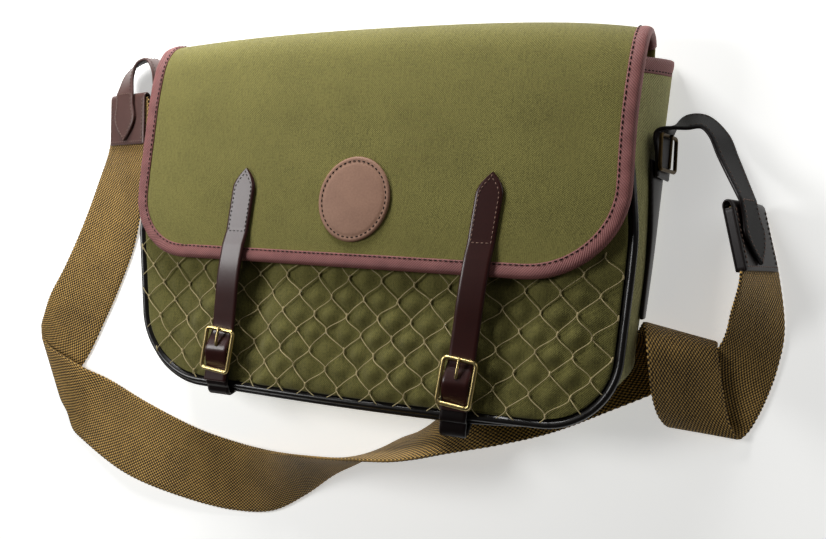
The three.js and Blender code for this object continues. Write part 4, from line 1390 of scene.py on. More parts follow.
def bar_loop(width: float, height: float, corner: float) -> Array:
    """The middle line of a rounded frame, as a loop in X and Y.

    Args:
        width: The frame's width on its middle line.
        height: The frame's height on its middle line.
        corner: The radius of its corners.

    Returns:
        The points of the loop.
    """
    points = []
    for k, (sx, sy) in enumerate(((1, -1), (1, 1), (-1, 1), (-1, -1))):
        turn = np.radians(np.linspace(-90, 0, 7) + 90 * k)
        x = sx * (width / 2 - corner) + corner * np.cos(turn)
        y = sy * (height / 2 - corner) + corner * np.sin(turn)
        points.append(np.stack([x, y, np.zeros_like(x)], axis=1))
    loop = np.vstack(points)
    whole = np.vstack([loop, loop[:1]])
    return resampled(whole, np.arange(0, lengths(whole)[-1], 0.9))[0]


@dataclass
class Closure:
    """A flap strap with its buckle, prong and tab.

    Attributes:
        side: The closure's side.
        form: The body's form.
        flap: The flap that the strap is sewn to.
        x: Distance of the strap from the bag's middle.
        lean: Its slope.
        width: Its width.
        leather: Its thickness.
        tip: Where its tip is along Y.
        tip_length: Length of the pointed tip.
        buckle_y: Where the buckle's middle is.
        buckle_size: Width and height of the buckle.
        bar: Width of its bars.
        buckle_floor: Height of its underside.
        buckle_middle: Height of the strap's middle where it goes under the buckle's ends.
        drop: How much lower its buckle sits.
        slack: The tab's slack past the piping.
        short: How much shorter the strap's end is below the buckle.
    """

    side: Side
    form: BodyForm
    flap: Flap
    x: float = 87.0
    lean: float = 0.055
    width: float = 17.0
    leather: float = 2.2
    tip: float = 24.0
    tip_length: float = 13.5
    buckle_y: float = -101.0
    buckle_size: tuple[float, float] = (24.0, 31.0)
    bar: float = 2.8
    buckle_floor: float = 55.2
    buckle_middle: float = 53.4
    drop: float = 0.0
    slack: float = 0.0
    short: float = 0.0

    # Below the stitches: over the binding, through the buckle, to the end: Y and Z.
    RUN = (
        (-28, 58.0), (-41, 58.2), (-56, 57.2), (-72, 55.0), (-85, 53.4), (-89.5, 53.6),
        (-95.5, 56.2), (-101, 57.9), (-106.5, 56.2), (-112.5, 53.6), (-117, 53.4), (-123, 53.4),
    )
    # The prong: distance past the frame's upper edge, and height over the frame.
    PRONG = ((-12.5, 0.2), (-11.0, 1.1), (-8.0, 1.3), (-4.0, 1.2), (-1.5, 1.1), (0.3, 0.7))
    DROP_FROM = -80.0  # the run below this place moves with its buckle
    SEWN_GAP = 0.15  # clearance between the strap's sewn end and the flap
    PIPING_RADIUS = 3.0
    # The tab past the buckle: distance below the buckle's middle, and Z.
    TAB_RUN = ((10, 51.3), (17, 50.9), (24, 50.2))

    def __post_init__(self) -> None:
        """Lowers the buckle."""
        self.buckle_y -= self.drop

    def place(self, y: Array) -> Array:
        """Where the strap's middle is across the upright bag."""
        return self.side.sign * self.x + self.lean * (y - self.flap.low)

    def middle(self, y: Array, z: Array) -> Array:
        """Points of a line down the strap's middle."""
        return skewed(self.place(y), y, z)

    def build(self) -> None:
        """Builds all the pieces."""
        self.strap()
        self.buckle()
        self.prong()
        self.tab()

    def strap(self) -> None:
        """The pointed strap with its stitches."""
        tip = self.tip_length * (1 - np.cos(np.linspace(0.02, math.pi / 2, 14)))
        distance = np.concatenate([tip, np.arange(19, 44, 3.0)])
        y = self.tip - distance
        sewn = self.middle(y, self.flap.top(self.place(y), y) + self.SEWN_GAP + self.leather / 2)
        rows = [(0.0, y - self.drop * (y < self.DROP_FROM), z) for y, z in self.RUN]
        rows[-1] = (0.0, rows[-1][1] + self.short, rows[-1][2])
        run = smooth_points(np.array(rows), 6)
        free = self.middle(run[:, 1], run[:, 2])
        points = np.vstack([sewn, free])
        half = np.full(len(points), self.width / 2)
        half[: len(distance)] = pointed(self.width, distance, self.tip_length)
        grid = strap_grid(points, half)
        name = f"flap_strap_{self.side.value}"
        shape = sheet(grid, self.leather, 0.7)
        add_piece(name, "leather", shape, [STRAP], "strap_leather")
        self.strap_stitches(name)

    def strap_stitches(self, name: str) -> None:
        """The stitches round the strap's sewn end.

        Args:
            name: The strap's name.
        """
        end = 43.0
        distance = np.concatenate([np.linspace(2.4, 17, 30), np.linspace(18, end, 20)])
        half = np.maximum(pointed(self.width, distance - 1.4, self.tip_length) - 2.1, 0)
        y = self.tip - distance
        z = self.flap.top(self.place(y), y) + self.SEWN_GAP + self.leather
        left, right = self.middle(y, z), self.middle(y, z)
        left[:, 0] -= half
        right[:, 0] += half
        low = np.linspace(left[-1], right[-1], 12)[1:-1]
        path = np.vstack([left[::-1], right, low[::-1], left[-1:]])
        # The right strap's stitches get a lighter thread as painted sheen; it is the same dark thread as on
        # the left.
        thread = DARK_THREAD if self.side is Side.LEFT else SHEEN_THREAD
        add_piece(name, "stitches", STRAP_SEAM.along(path, UP), [thread])

    def turned(self, shape: Shape, y: float) -> Shape:
        """A shape turned with the strap's lean and put on it.

        Args:
            shape: The shape.
            y: Where it goes along the strap.

        Returns:
            The turned shape.
        """
        angle = -SKEW - self.lean
        c, s = math.cos(angle), math.sin(angle)
        matrix = np.array([[c, -s, 0], [s, c, 0], [0, 0, 1]])
        offset = self.middle(np.array(y), np.array(0.0))
        return shape.moved(matrix, offset)

    def buckle(self) -> None:
        """The cast frame with its middle bar."""
        wide, high = self.buckle_size
        loop = bar_loop(wide - self.bar, high - self.bar, 2.4)
        loop[:, 2] = self.buckle_floor + self.bar / 2
        frame_bar = tube(loop, self.bar / 2, 14, UP, True)
        reach = np.linspace(-(wide - self.bar) / 2, (wide - self.bar) / 2, 12)
        drop = np.minimum(1, (1 - np.abs(reach) / reach[-1]) * 6)
        line = np.stack([reach, np.zeros_like(reach), self.buckle_floor + 0.9 - 0.9 * drop], axis=1)
        pin = tube(line, 1.0, 10, np.array([0.0, 1.0, 0.0]))
        shape = self.turned(joined([frame_bar, pin]), self.buckle_y)
        add_piece(f"buckle_{self.side.value}", "brass", shape, [BRASS], "brass")

    def prong(self) -> None:
        """The prong, from its hole in the strap up over the frame's upper bar."""
        top = self.buckle_size[1] / 2
        high = self.buckle_floor + self.bar
        line = np.array([(0.0, top + past, high + up) for past, up in self.PRONG])
        line = smooth_points(line, 5)
        size = np.interp(np.arange(len(line)), [0, len(line) - 4, len(line) - 1], [1.15, 0.85, 0.5])
        shape = self.turned(tube(line, size, 10, ACROSS), self.buckle_y)
        add_piece(f"prong_{self.side.value}", "brass", shape, [BRASS], "brass")

    def tab(self) -> None:
        """The tab that holds the buckle, turned round the piping and under the bag."""
        form = self.form
        left, _ = form.plan(np.array(0.0), np.array(1.0))
        right, _ = form.plan(np.array(1.0), np.array(1.0))
        u = float((self.place(np.array(form.bottom)) - left) / (right - left))
        at = mix(form.side_share, 1 - form.side_share, u)
        _, seam = form.plan(np.array(u), np.array(1.0))
        reach = self.PIPING_RADIUS + GAP + self.leather / 2 + 0.6
        off = form.canvas / 2 + GAP + self.leather / 2 + 1.2
        flat = self.buckle_middle - GAP - self.leather / 2
        rows = [(self.buckle_y + 5, flat), (self.buckle_y - 3.5, flat)]
        rows += [(self.buckle_y - below, z) for below, z in self.TAB_RUN]
        for degrees in (75, 45, 10, -25):
            turn = math.radians(degrees)
            past = (reach + self.slack) * math.cos(turn)
            rows.append((float(seam) - past, PIPING_HEIGHT + reach * math.sin(turn)))
        for w in (0.92, 0.75, 0.6, 0.48):
            point = form.off_gusset(at, w, off + (1.5 if w > 0.9 else 0))
            rows.append((float(point[1]), float(point[2])))
        line = smooth_points(np.array([(0.0, y, z) for y, z in rows]), 5)
        points = self.middle(line[:, 1], line[:, 2])
        grid = strap_grid(points, np.full(len(points), self.width / 2))
        shape = sheet(grid, self.leather, 0.7)
        add_piece(f"buckle_tab_{self.side.value}", "leather", shape, [TAB_LEATHER_AND_SHADE], "tab_leather")


@dataclass
class Net:
    """The knotted twine net over the front canvas.

    Attributes:
        form: The body's form.
        twine: Diameter of the twine.
        inset: How far inside the seam it ends.
        half_width: Half the width that its rows of knots cover.
    """

    form: BodyForm
    twine: float = 0.62
    inset: float = 0.8
    half_width: float = 180.0

    def build(self) -> None:
        """Builds the net."""
        form = self.form
        random = np.random.default_rng(4)
        x, y, u, v = form.patch(self.inset, 160, 240)
        lay = NetLay(x, y, form.front(x, y, u, v))
        wide, high = NET_MESH[0], NET_MESH[1] / 2
        columns, rows = int(self.half_width / wide) + 1, int((NET_TOP - y.min()) / high) + 2
        knots: dict[tuple[int, int], Array] = {}
        for j in range(rows):
            for i in range(-columns, columns + 1):
                place = np.array([(i + j % 2 / 2) * wide, NET_TOP - j * high])
                knots[i, j] = place + random.normal(0, 0.55, 2)
        shapes: list[Shape] = []
        for (i, j), upper in knots.items():
            for near in (i - 1 + j % 2, i + j % 2):
                lower = knots.get((near, j + 1))
                strand = None if lower is None else self.strand(lay, upper, lower, random)
                if strand is not None:
                    shapes.append(strand)
            if lay.inside(*upper):
                shapes.append(self.knot(lay, upper, random))
        add_piece("net", "twine", joined(shapes), [TWINE], "twine")

    def strand(self, lay: "NetLay", upper: Array, lower: Array, random: np.random.Generator) -> Shape | None:
        """A strand from one knot to the next, which leaves each knot nearly upright.

        Args:
            lay: The canvas under the net.
            upper: The upper knot.
            lower: The lower knot.
            random: Makes the strands uneven.

        Returns:
            The strand as far as it is over the canvas, if it is.
        """
        share = np.linspace(0, 1, 25)
        hang = np.clip(0.35 + (upper[0] + 150) / 260, 0.3, 0.95) * random.uniform(0.7, 1.1)
        x = mix(upper[0], lower[0], mix(share, smoothstep(share, 0, 1), hang))
        y = mix(upper[1], lower[1], share)
        sway = random.uniform(-0.7, 0.7)
        x = x + sway * np.sin(2 * math.pi * share)
        rise = 0.9 + random.uniform(0.4, 1.9) * np.sin(math.pi * share)
        size = self.twine / 2 * random.uniform(0.85, 1.1)
        over = lay.inside(x, y)
        if over.sum() < 9:
            return None
        path = skewed(x, y, lay.height(x, y) + rise)[over]
        return tube(path, size, 6, UP)

    def knot(self, lay: "NetLay", place: Array, random: np.random.Generator) -> Shape:
        """A knot: a short thick twist of the twine.

        Args:
            lay: The canvas under the net.
            place: Where it is.
            random: Makes the knots uneven.

        Returns:
            The knot.
        """
        share = np.linspace(-1, 1, 7)
        reach = random.uniform(1.5, 2.2)
        tilt = random.uniform(-0.35, 0.35)
        x, y = place[0] + tilt * share * reach, place[1] + share * reach
        path = skewed(x, y, lay.height(x, y) + 1.1)
        size = self.twine * mix(0.45, 0.95, np.sqrt(np.maximum(1 - share**2, 0)))
        return tube(path, size, 7, UP)


@dataclass
class NetLay:
    """The surface that the net lies on.

    Attributes:
        x: Places across the upright bag, in a grid.
        y: Places up the bag.
        z: Heights of the canvas's middle surface.
    """

    x: Array
    y: Array
    z: Array

    def __post_init__(self) -> None:
        """Spreads the heights on an even raster."""
        self.step = 2.0
        self.low = np.array([self.x.min(), self.y.min()])
        size = np.ceil((np.array([self.x.max(), self.y.max()]) - self.low) / self.step).astype(int) + 2
        self.raster = np.full(size, self.z.min())
        cell = np.stack([self.x - self.low[0], self.y - self.low[1]], axis=-1) / self.step
        cell = np.round(cell).astype(int)
        np.maximum.at(self.raster, (cell[..., 0], cell[..., 1]), self.z)

    def inside(self, x: Array, y: Array) -> Array:
        """Which places are over the canvas.

        Args:
            x: Places across the upright bag.
            y: Places up the bag.

        Returns:
            Whether each is over it.
        """
        column = self.y[:, 0][::-1]
        left = np.interp(y, column, self.x[:, 0][::-1])
        right = np.interp(y, self.y[:, -1][::-1], self.x[:, -1][::-1])
        return (x > left) & (x < right) & (y > np.interp(x, self.x[-1], self.y[-1]))

    def height(self, x: Array, y: Array) -> Array:
        """Heights of the canvas's upper face.

        Args:
            x: Places across the upright bag.
            y: Places up the bag.

        Returns:
            The heights there.
        """
        column = np.clip((x - self.low[0]) / self.step, 0, self.raster.shape[0] - 1.001)
        row = np.clip((y - self.low[1]) / self.step, 0, self.raster.shape[1] - 1.001)
        i, j = column.astype(int), row.astype(int)
        s, t = column - i, row - j
        near = mix(self.raster[i, j], self.raster[i + 1, j], s)
        far = mix(self.raster[i, j + 1], self.raster[i + 1, j + 1], s)
        return mix(near, far, t) + 1.0


@dataclass
class ShoulderStrap:
    """The webbing with its covers, strap ends, billets and side buckles.

    Attributes:
        form: The body's form.
        thickness: Thickness of the webbing.
        cover_leather: Thickness of the covers.
        cover_size: Width and length of a cover.
        cover_aside: How far the right cover sits towards its webbing's higher edge.
        set_back: How far the webbing's higher edge lies back inside the right cover.
        end_width: Width of the strap ends.
        leaf_width: Width of their sewn points.
        leaf_tip: Length of those points.
        leaf_aside: How far the right one is sewn from its cover's middle, to the higher edge.
        leather: Thickness of the straps.
        buckle_y: Where the side buckles are.
        buckle_size: Width and height of the side buckles.
        bar: Width of their bars.
        billet: Heights of the billets' two edges.
        billet_reach: Where the billets run from and to.
    """

    form: BodyForm
    thickness: float = 2.0
    cover_leather: float = 1.5
    cover_size: tuple[float, float] = (44.0, 42.0)
    cover_aside: float = 3.0
    set_back: float = 3.5
    end_width: float = 21.0
    leaf_width: float = 26.0
    leaf_tip: float = 20.0
    leaf_aside: float = 9.0
    leather: float = 2.2
    buckle_y: float = 42.0
    buckle_size: tuple[float, float] = (27.0, 23.0)
    bar: float = 2.4
    billet: tuple[float, float] = (5.0, 25.0)
    billet_reach: tuple[float, float] = (-58.0, 37.0)

    SIDE_ROOM = 0.4  # air under the billets, over the usual gap
    LAYER_ROOM = 1.1  # air between a billet and the strap end on it, over the usual gap
    COVER_ROOM = 0.8  # air between the webbing and its covers, over the usual gap
    ARCH_STEPS = 10  # points on each span of a strap end's arch

    # Rulings from one edge of the webbing to the other, from the left cover to the flat fold.
    FIRST = (
        ((-249, 84, 6.5), (-203, 84, 18)), ((-249, 66, 6), (-202, 64, 17)),
        ((-250, 46, 5), (-202, 42, 15)), ((-262, 18, 2), (-213.5, 5.4, 5)),
        ((-270.6, -15.6, 6), (-222.7, -35.3, 1.2)), ((-283, -53, 11), (-237, -73.6, 1.2)),
        ((-294, -78, 14), (-247.5, -96.6, 1.2)), ((-299.4, -93.7, 13.5), (-260, -122.5, 1.2)),
        ((-301.9, -103.4, 13.6), (-273, -143, 1.2)), ((-301.5, -107.5, 13.6), (-281, -157, 1.4)),
    )
    # From the flat fold, through the half twist and under the bag's corner, over and down in a loose
    # turn, and up to the right cover.
    SECOND = (
        ((-299.9, -112.4, 13.6), (-285, -160, 5.4)), ((-293.5, -119.3, 13.2), (-281.5, -166, 5.4)),
        ((-280.9, -125.5, 12), (-276, -173.5, 5)), ((-259, -135.1, 7.5), (-270.1, -187.3, 3.4)),
        ((-238.5, -142, 3), (-259.5, -194.5, 3)), ((-198, -157, 1.2), (-210, -214.5, 5.5)),
        ((-146, -171, 2.4), (-151, -225, 3.5)), ((-106, -175.6, 6), (-108, -227, 1.4)),
        ((-76, -173.3, 20.8), (-76, -221.5, 1.2)), ((-50, -169, 38.2), (-50, -205.5, 1.2)),
        ((-28, -165.8, 48.4), (-28, -187.6, 1.2)), ((-8, -163.8, 52), (-8, -175.4, 1.2)),
        ((22, -160.8, 52.8), (22, -155.2, 1.2)), ((36, -159, 52), (36, -148, 1.2)),
        ((50, -156.1, 49), (50, -135.8, 1.2)), ((64, -152.9, 40.4), (61.2, -118.8, 1.2)),
        ((78, -150.5, 26), (72, -105.2, 1.2)), ((94, -147, 14.8), (80.5, -98.7, 1.2)),
        ((125, -137, 2), (104, -88, 1.2)), ((160, -119, 1.2), (137, -72, 1.2)),
        ((198, -97, 1.4), (157.8, -73.1, 1.2)), ((212.7, -81.9, 2), (172.9, -69.5, 1.4)),
        ((221.9, -69.2, 7), (180, -60.6, 14)), ((222.5, -72.4, 12), (182.5, -64, 31)),
        ((223.7, -78.7, 13.5), (184.6, -71.1, 37)), ((225.1, -87.5, 12.5), (186.5, -83.7, 36)),
        ((227, -96.3, 11), (188, -96.1, 32)), ((229.5, -106.8, 9.5), (190, -107.3, 25)),
        ((232.3, -116.7, 8), (193.1, -116.3, 17)), ((238, -124.4, 4.6), (197.7, -121.4, 9)),
        ((242.5, -120.4, 1.5), (201.6, -116.5, 3.5)), ((246.8, -111.6, 1.4), (205.8, -105.9, 6)),
        ((251.5, -98.6, 1.4), (214.9, -86, 8)), ((255.9, -81.6, 1.4), (225.3, -67.4, 14)),
        ((258.3, -59.7, 1.4), (228.9, -49.7, 30)), ((253, -25.2, 1.4), (232.4, -27, 48)),
        ((248, -5.6, 1.4), (227.4, -7.5, 48)), ((243.9, 10.3, 1.4), (223.3, 8.5, 48)),
    )
    # Lower and upper edge of the strap ends past their covers, up to the arch over the side buckle.
    LEFT_ARCH = (
        ((-236, 105, 7), (-219, 101, 19)), ((-224, 115, 4), (-213, 110, 22)),
        ((-210, 117, 3), (-204, 112, 23)), ((-199, 108, 3), (-197, 104, 24)),
        ((-193, 88, 3), (-193.5, 87, 24)),
    )
    RIGHT_ARCH = (
        ((227.2, 41, 9.5), (216.6, 38.8, 30)), ((220.8, 55, 8), (210.9, 51.2, 28.5)),
        ((207.7, 66.8, 6.5), (206.3, 55.8, 27)), ((195.5, 66.4, 5), (199.4, 55.4, 26)),
    )

    def build(self) -> None:
        """Builds all the pieces."""
        rulings = self.rulings()
        self.webbing(rulings)
        ends = {Side.LEFT: (rulings[0], rulings[1]), Side.RIGHT: (rulings[-1], rulings[-2])}
        for side, (last, before) in ends.items():
            end = EndFrame.of(last, before)
            self.cover(side, end)
            self.strap_end(side, end)
            self.billet_strap(side)
            self.side_buckle(side)

    def strip(self, rows: Sequence[Any], steps: int) -> Array:
        """Smoothed rulings of a strip, kept off the surface that it lies on.

        Args:
            rows: Its rulings, each from edge to edge.
            steps: How many points each span gets.

        Returns:
            The smoothed rulings.
        """
        edges = [smooth_points(np.array([row[k] for row in rows], float), steps) for k in (0, 1)]
        grid = np.stack(edges, axis=1)
        grid[..., 2] = np.maximum(grid[..., 2], self.thickness / 2 + 0.2)
        return grid

    def rulings(self) -> Array:
        """The webbing's way from cover to cover.

        Returns:
            All its rulings, through the flat fold.
        """
        first, second = np.array(self.FIRST[-1], float), np.array(self.SECOND[0], float)
        crease = first[1] - first[0]
        outward = unit(np.array([crease[1], -crease[0], 0.0]))
        radius = (second[:, 2] - first[:, 2]) / 2
        turns = np.radians(np.linspace(-75, 75, 15))[:, None, None]
        fold = mix(first, second, 0.5 + turns / math.pi) + outward * np.cos(turns) * radius[:, None]
        fold[..., 2] = (first + second)[:, 2] / 2 + radius * np.sin(turns[..., 0])
        return np.concatenate([self.strip(self.FIRST, 12), fold, self.strip(self.SECOND, 12)])

    def webbing(self, rulings: Array) -> None:
        """The woven strap, with the small steps of its weave along its edges.

        Args:
            rulings: Its rulings.
        """
        middle = rulings.mean(axis=1)
        way = lengths(middle)
        at = np.linspace(0, way[-1], int(way[-1]))
        edges = [at_distances(rulings[:, k], way, at) for k in (0, 1)]
        covered = way[-1] - self.cover_size[1]
        back = self.set_back * smoothstep(at, covered + 4, covered + 9)[:, None]
        edges[1] = edges[1] + unit(edges[0] - edges[1]) * back
        share = np.linspace(0, 1, 12)[None, :, None]
        grid = mix(edges[0][:, None], edges[1][:, None], share)
        tooth = 0.28 * np.sin(at / 1.7 * math.pi)[:, None]
        aside = unit(edges[1] - edges[0])
        grid[:, 0] -= aside * tooth
        grid[:, -1] -= aside * tooth
        shape = sheet(grid, self.thickness, 1.2)
        piece = add_piece("webbing", "cloth", shape, [WEBBING], "webbing")

    @property
    def cover_off(self) -> float:
        """Distance of a cover's leaves from the webbing's middle."""
        return self.thickness / 2 + GAP + self.cover_leather / 2 + self.COVER_ROOM

    @property
    def cover_inside(self) -> float:
        """How far a cover reaches in over the webbing."""
        return self.cover_size[1] - self.cover_size[0] / 8

    def cover(self, side: Side, end: "EndFrame") -> None:
        """The leather folded round a webbing end, with its stitches.

        Args:
            side: The end's side.
            end: The end's frame.
        """
        wide = self.cover_size[0]
        off, inside = self.cover_off, self.cover_inside
        turn = np.radians(np.linspace(90, -90, 9))
        flat = np.linspace(-inside, -1, 16)
        past = np.concatenate([flat, (off + GAP) * np.cos(turn), flat[::-1]])
        above = np.concatenate([np.full(16, off), off * np.sin(turn), np.full(16, -off)])
        # The right cover is coloured near black as painted shade; the left one keeps its own leather.
        aside, finish = (self.cover_aside, TAB_LEATHER_AND_SHADE) if side is Side.RIGHT else (0.0, COVER)
        share = np.linspace(-1, 1, 21)
        pinch = 1 - 0.18 * np.abs(share) ** 6
        across = aside + share * wide / 2
        grid = end.place(past[:, None], across[None], above[:, None] * pinch[None])
        name = f"strap_cover_{side.value}"
        leaves = sheet(grid, self.cover_leather, 0.6)
        if side is Side.RIGHT:
            # A strip turned in between the leaves closes the edge that faces the camera.
            turned = np.linspace(-off, off, 7) * 0.9
            edge = end.place(flat[:, None], np.array(aside + wide / 2 - 1.0), turned[None])
            leaves = joined([leaves, sheet(edge, 1.2, 0.4)])
        add_piece(name, "leather", leaves, [finish], "cover_leather")
        top = off + self.cover_leather / 2 + 0.02
        rim = wide / 2 - 2.2
        corners = np.array([(-1.0, -rim), (-inside + 2.2, -rim), (-inside + 2.2, rim), (-1.0, rim)])
        line = np.vstack([np.linspace(corners[k], corners[k + 1], 30) for k in range(3)])
        path = end.place(line[:, 0], aside + line[:, 1], np.full(len(line), top - 0.12))
        add_piece(name, "stitches", STRAP_SEAM.along(path, end.off), [PALE_THREAD])

    def strap_end(self, side: Side, end: "EndFrame") -> None:
        """The pointed strap sewn on a cover, which arches over to the side buckle.

        Args:
            side: The end's side.
            end: The end's frame.
        """
        inside = self.cover_inside
        above = np.array(self.cover_off + self.cover_leather / 2 + GAP + self.leather / 2)
        tip = self.leaf_tip * (1 - np.cos(np.linspace(0.02, math.pi / 2, 14)))
        distance = np.concatenate([tip, np.linspace(22, inside, 8)])
        body = mix(self.leaf_width, self.end_width, smoothstep(distance, 16, 30))
        half = np.array([float(pointed(w, d, self.leaf_tip)) for w, d in zip(body, distance)])
        aside = self.leaf_aside if side is Side.RIGHT else 0.0

        def leaf_edges(past: Array, reach: Array) -> list[Array]:
            """Two lines along the sewn point, at a reach on both sides of its middle."""
            return [end.place(past - inside + 3, aside + sign * reach, above) for sign in (-1, 1)]

        sewn = np.stack(leaf_edges(distance, half), axis=1)
        arch = np.array(self.LEFT_ARCH if side is Side.LEFT else self.RIGHT_ARCH, float)
        on_side = [
            np.array([self.side_place(side, y, height, 1) for height in self.billet])
            for y in (self.buckle_y + 12, self.buckle_y - 2, self.buckle_y - 15)
        ]
        knots = np.array([sewn[-1], *arch, *on_side])
        free = np.stack([smooth_points(knots[:, k], self.ARCH_STEPS)[1:] for k in (0, 1)], axis=1)
        edges = np.concatenate([sewn, free])
        share = np.linspace(0, 1, 9)[None, :, None]
        grid = mix(edges[:, :1], edges[:, 1:], share)
        name = f"strap_end_{side.value}"
        shape = sheet(grid, self.leather, 0.7, backed=True)
        # The left strap end takes the covers' leather; the right one is coloured near black as painted
        # shade.
        finish = COVER if side is Side.LEFT else TAB_LEATHER_AND_SHADE
        add_piece(name, "leather", shape, [finish, FLESH], "strap_leather")
        sides = leaf_edges(distance[2:], np.maximum(half - 2.0, 0)[2:])
        cross = np.linspace(sides[1][-1], sides[0][-1], 10)[1:-1]
        path = np.vstack([sides[0][::-1], sides[1], cross]) + end.off * (self.leather / 2)
        add_piece(name, "stitches", STRAP_SEAM.along(path, end.off), [PALE_THREAD])
        self.edge_stitches(name, grid, slice(len(sewn), len(sewn) + self.ARCH_STEPS * len(arch)))

    def edge_stitches(self, name: str, grid: Array, arched: slice) -> None:
        """The stitches along both edges of a strap end's arch, on its two faces.

        Args:
            name: The strap end's name.
            grid: Its middle surface.
            arched: The rows of its arch.
        """
        rows, normals = grid[arched], grid_normals(grid)[arched]
        edgings = []
        for column in (1, -2):
            for face in (-1, 1):
                up = face * normals[:, column]
                edgings.append(EDGE_SEAM.along(rows[:, column] + up * self.leather / 2, up))
        add_piece(name, "edge_stitches", joined(edgings), [EDGE_THREAD])

    def side_place(self, side: Side, y: float, height: float, layer: int) -> Array:
        """A place on the outer face of a side of the gusset, in layers of leather.

        Args:
            side: The side.
            y: Its place along the side.
            height: Its height.
            layer: How many straps lie under it.

        Returns:
            The point.
        """
        form = self.form
        at = form.side_at(side, y)
        foot = float(form.gusset(at, 0.0)[2])
        w = (height - foot) / (form.gusset_top - foot)
        outward = form.canvas / 2 + GAP + self.leather / 2 + self.SIDE_ROOM
        outward += layer * (self.leather + GAP + self.LAYER_ROOM)
        return form.off_gusset(at, w, outward)

    def billet_strap(self, side: Side) -> None:
        """The strap on the gusset that holds the side buckle.

        Args:
            side: The gusset's side.
        """
        rows = np.linspace(*self.billet_reach, 26)
        heights = np.linspace(*self.billet, 9)
        grid = np.array([[self.side_place(side, y, height, 0) for height in heights] for y in rows])
        shape = sheet(grid, self.leather, 0.7)
        # The billets are coloured near black as painted shade.
        add_piece(f"side_billet_{side.value}", "leather", shape, [TAB_LEATHER_AND_SHADE], "strap_leather")

    def side_buckle(self, side: Side) -> None:
        """The side buckle with its prong, on the strap's outer face.

        Args:
            side: The buckle's side.
        """
        low, high = self.billet
        y = self.buckle_y

        def at(y: float, height: float) -> Array:
            """A place on the strap end."""
            return self.side_place(side, y, height, 1)

        upward = unit(at(y, high) - at(y, low))
        forward = unit(at(y + 5, (low + high) / 2) - at(y - 5, (low + high) / 2))
        outward = unit(np.cross(forward, upward))
        if outward[0] * side.sign < 0:
            outward = -outward
        matrix = np.stack([np.cross(forward, outward), forward, outward], axis=1)
        seat = (at(y, low) + at(y, high)) / 2 + outward * (self.leather / 2 + GAP + 0.3)
        wide, tall = self.buckle_size
        loop = bar_loop(wide - self.bar, tall - self.bar, 2.2)
        loop[:, 2] = self.bar / 2
        shape = tube(loop, self.bar / 2, 12, UP, True)
        line = np.array(
            [
                (0.0, -tall / 2 + self.bar, self.bar * 0.9),
                (0.0, 0.0, self.bar * 1.05),
                (0.0, tall / 2 - 0.4, self.bar * 1.2),
            ]
        )
        pin = tube(smooth_points(line, 8), 0.95, 10, ACROSS)
        shape = joined([shape, pin]).moved(matrix, seat)
        # The side buckles are coloured dark brass as painted shade.
        add_piece(f"side_buckle_{side.value}", "brass", shape, [SHADED_BRASS], "brass")


@dataclass(frozen=True)
class EndFrame:
    """The frame of a webbing end.

    Attributes:
        end: The middle of the end.
        out: The direction out of the end.
        across: The direction across it to its higher edge.
        off: The direction off its upper face.
    """

    end: Array
    out: Array
    across: Array
    off: Array

    @staticmethod
    def of(last: Array, before: Array) -> "EndFrame":
        """The frame of the end with these last two rulings.

        Args:
            last: The ruling at the end.
            before: The one next to it.

        Returns:
            The frame.
        """
        out = unit(last.mean(axis=0) - before.mean(axis=0))
        across = unit(last[1] - last[0])
        across = -across if across[2] < 0 else across
        off = unit(np.cross(out, across))
        off = -off if off[2] < 0 else off
        return EndFrame(last.mean(axis=0), out, across, off)

    def place(self, past: Array, aside: Array, above: Array) -> Array:
        """Points at distances past the end, across from its middle and off its face."""
        past, aside, above = (part[..., None] for part in np.broadcast_arrays(past, aside, above))
        return self.end + past * self.out + aside * self.across + above * self.off


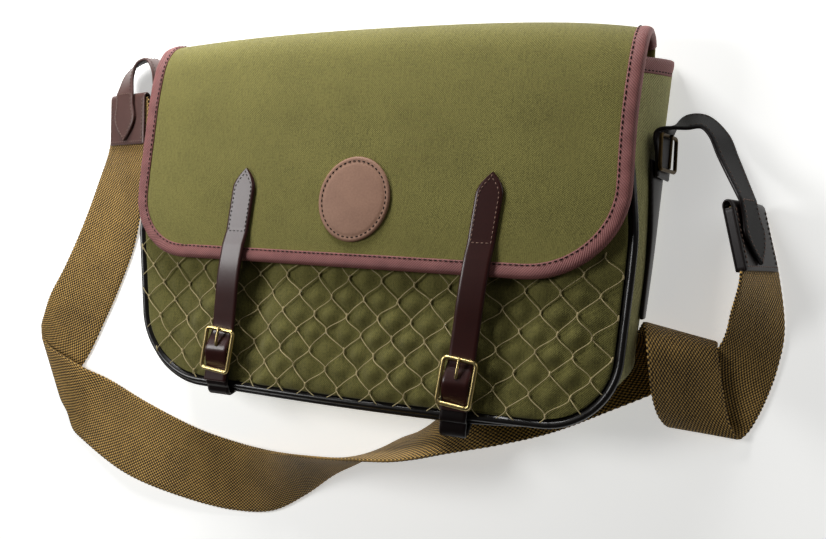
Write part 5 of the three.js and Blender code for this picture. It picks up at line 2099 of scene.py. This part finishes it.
@dataclass
class Studio:
    """The table, lights and camera of the picture.

    Attributes:
        eye: The camera's place in millimetres of the bag's own axes.
        target: Where it looks.
        up: The direction that stands upright in the picture.
        lens: Its focal length on a 36 mm wide sensor.
    """

    eye: tuple[float, float, float] = (229.2, -40.0, 518.1)
    target: tuple[float, float, float] = (21.5, -37.2, 0.0)
    up: tuple[float, float, float] = (-0.060, 0.998, 0.030)
    lens: float = 34.87

    # Name, place in the bag's own axes, side in metres and power in watts.
    LAMPS = (
        ("key", (-500.0, 40.0, 570.0), 0.26, 2.8),
        ("top", (-220.0, 600.0, 270.0), 0.25, 5.4),
        ("side", (600.0, 300.0, 260.0), 0.4, 0.6),
    )
    AIM = (0.0, -20.0, 30.0)  # where the lamps point
    AMBIENT = 0.05  # strength of the even light
    TABLE_HALF = 6.0  # half the table's side, in metres
    TABLE_Z = -0.0003  # its height in metres, just under the bag

    def build(self) -> None:
        """Builds the studio."""
        self.table()
        self.world()
        for lamp in self.LAMPS:
            self.light(*lamp)
        self.camera()

    def place(self, point: Sequence[float]) -> Vector:
        """A point of the bag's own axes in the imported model's."""
        return Vector((np.array(point) + row_shift()) / 1000)

    def table(self) -> None:
        """The pale table that the bag lies on."""
        mesh = bpy.data.meshes.new("studio_table")
        side, low = self.TABLE_HALF, self.TABLE_Z
        corners = [(-side, -side, low), (side, -side, low), (side, side, low), (-side, side, low)]
        mesh.from_pydata(corners, [], [(0, 1, 2, 3)])
        mesh.materials.append(FLOOR.material())
        table = bpy.data.objects.new("studio_table", mesh)
        bpy.context.scene.collection.objects.link(table)

    def world(self) -> None:
        """Even light from all round."""
        world = bpy.data.worlds.new("studio_light")
        world.use_nodes = True
        background = world.node_tree.nodes["Background"]
        background.inputs["Color"].default_value = (1.0, 1.0, 1.0, 1.0)
        background.inputs["Strength"].default_value = self.AMBIENT
        bpy.context.scene.world = world
        bpy.context.scene.view_settings.view_transform = "Standard"

    def light(self, name: str, place: tuple[float, float, float], size: float, power: float) -> None:
        """A square lamp that faces the bag.

        Args:
            name: Its name.
            place: Where it stands, in the bag's own axes.
            size: Its side in metres.
            power: Its power in watts.
        """
        lamp = bpy.data.lights.new(f"studio_{name}", "AREA")
        lamp.size = size
        lamp.energy = power
        made = bpy.data.objects.new(lamp.name, lamp)
        made.location = self.place(place)
        aim = self.place(self.AIM) - made.location
        made.rotation_mode = "QUATERNION"
        made.rotation_quaternion = aim.to_track_quat("-Z", "Y")
        bpy.context.scene.collection.objects.link(made)

    def camera(self) -> None:
        """The camera at the photo's angle."""
        data = bpy.data.cameras.new("studio_camera")
        data.sensor_fit = "HORIZONTAL"
        data.sensor_width = 36.0
        data.lens = self.lens
        data.clip_start = 0.01
        made = bpy.data.objects.new("studio_camera", data)
        eye, target = self.place(self.eye), self.place(self.target)
        back = (eye - target).normalized()
        right = Vector(self.up).cross(back).normalized()
        up = back.cross(right)
        turn = Matrix((right, up, back)).transposed()
        made.matrix_world = Matrix.Translation(eye) @ turn.to_4x4()
        bpy.context.scene.collection.objects.link(made)
        bpy.context.scene.camera = made


def main() -> None:
    """Builds the bag and its studio."""
    logging.basicConfig(level=logging.INFO, format="%(name)s: %(message)s")
    form = BodyForm()
    flap = Flap()
    Shell(form).build()
    flap.build()
    Closure(Side.LEFT, form, flap, slack=2.5).build()
    Closure(Side.RIGHT, form, flap, drop=3.3, slack=8.0, short=4.5).build()
    Net(form).build()
    ShoulderStrap(form).build()
    Studio().build()


if __name__ == "__main__":
    main()
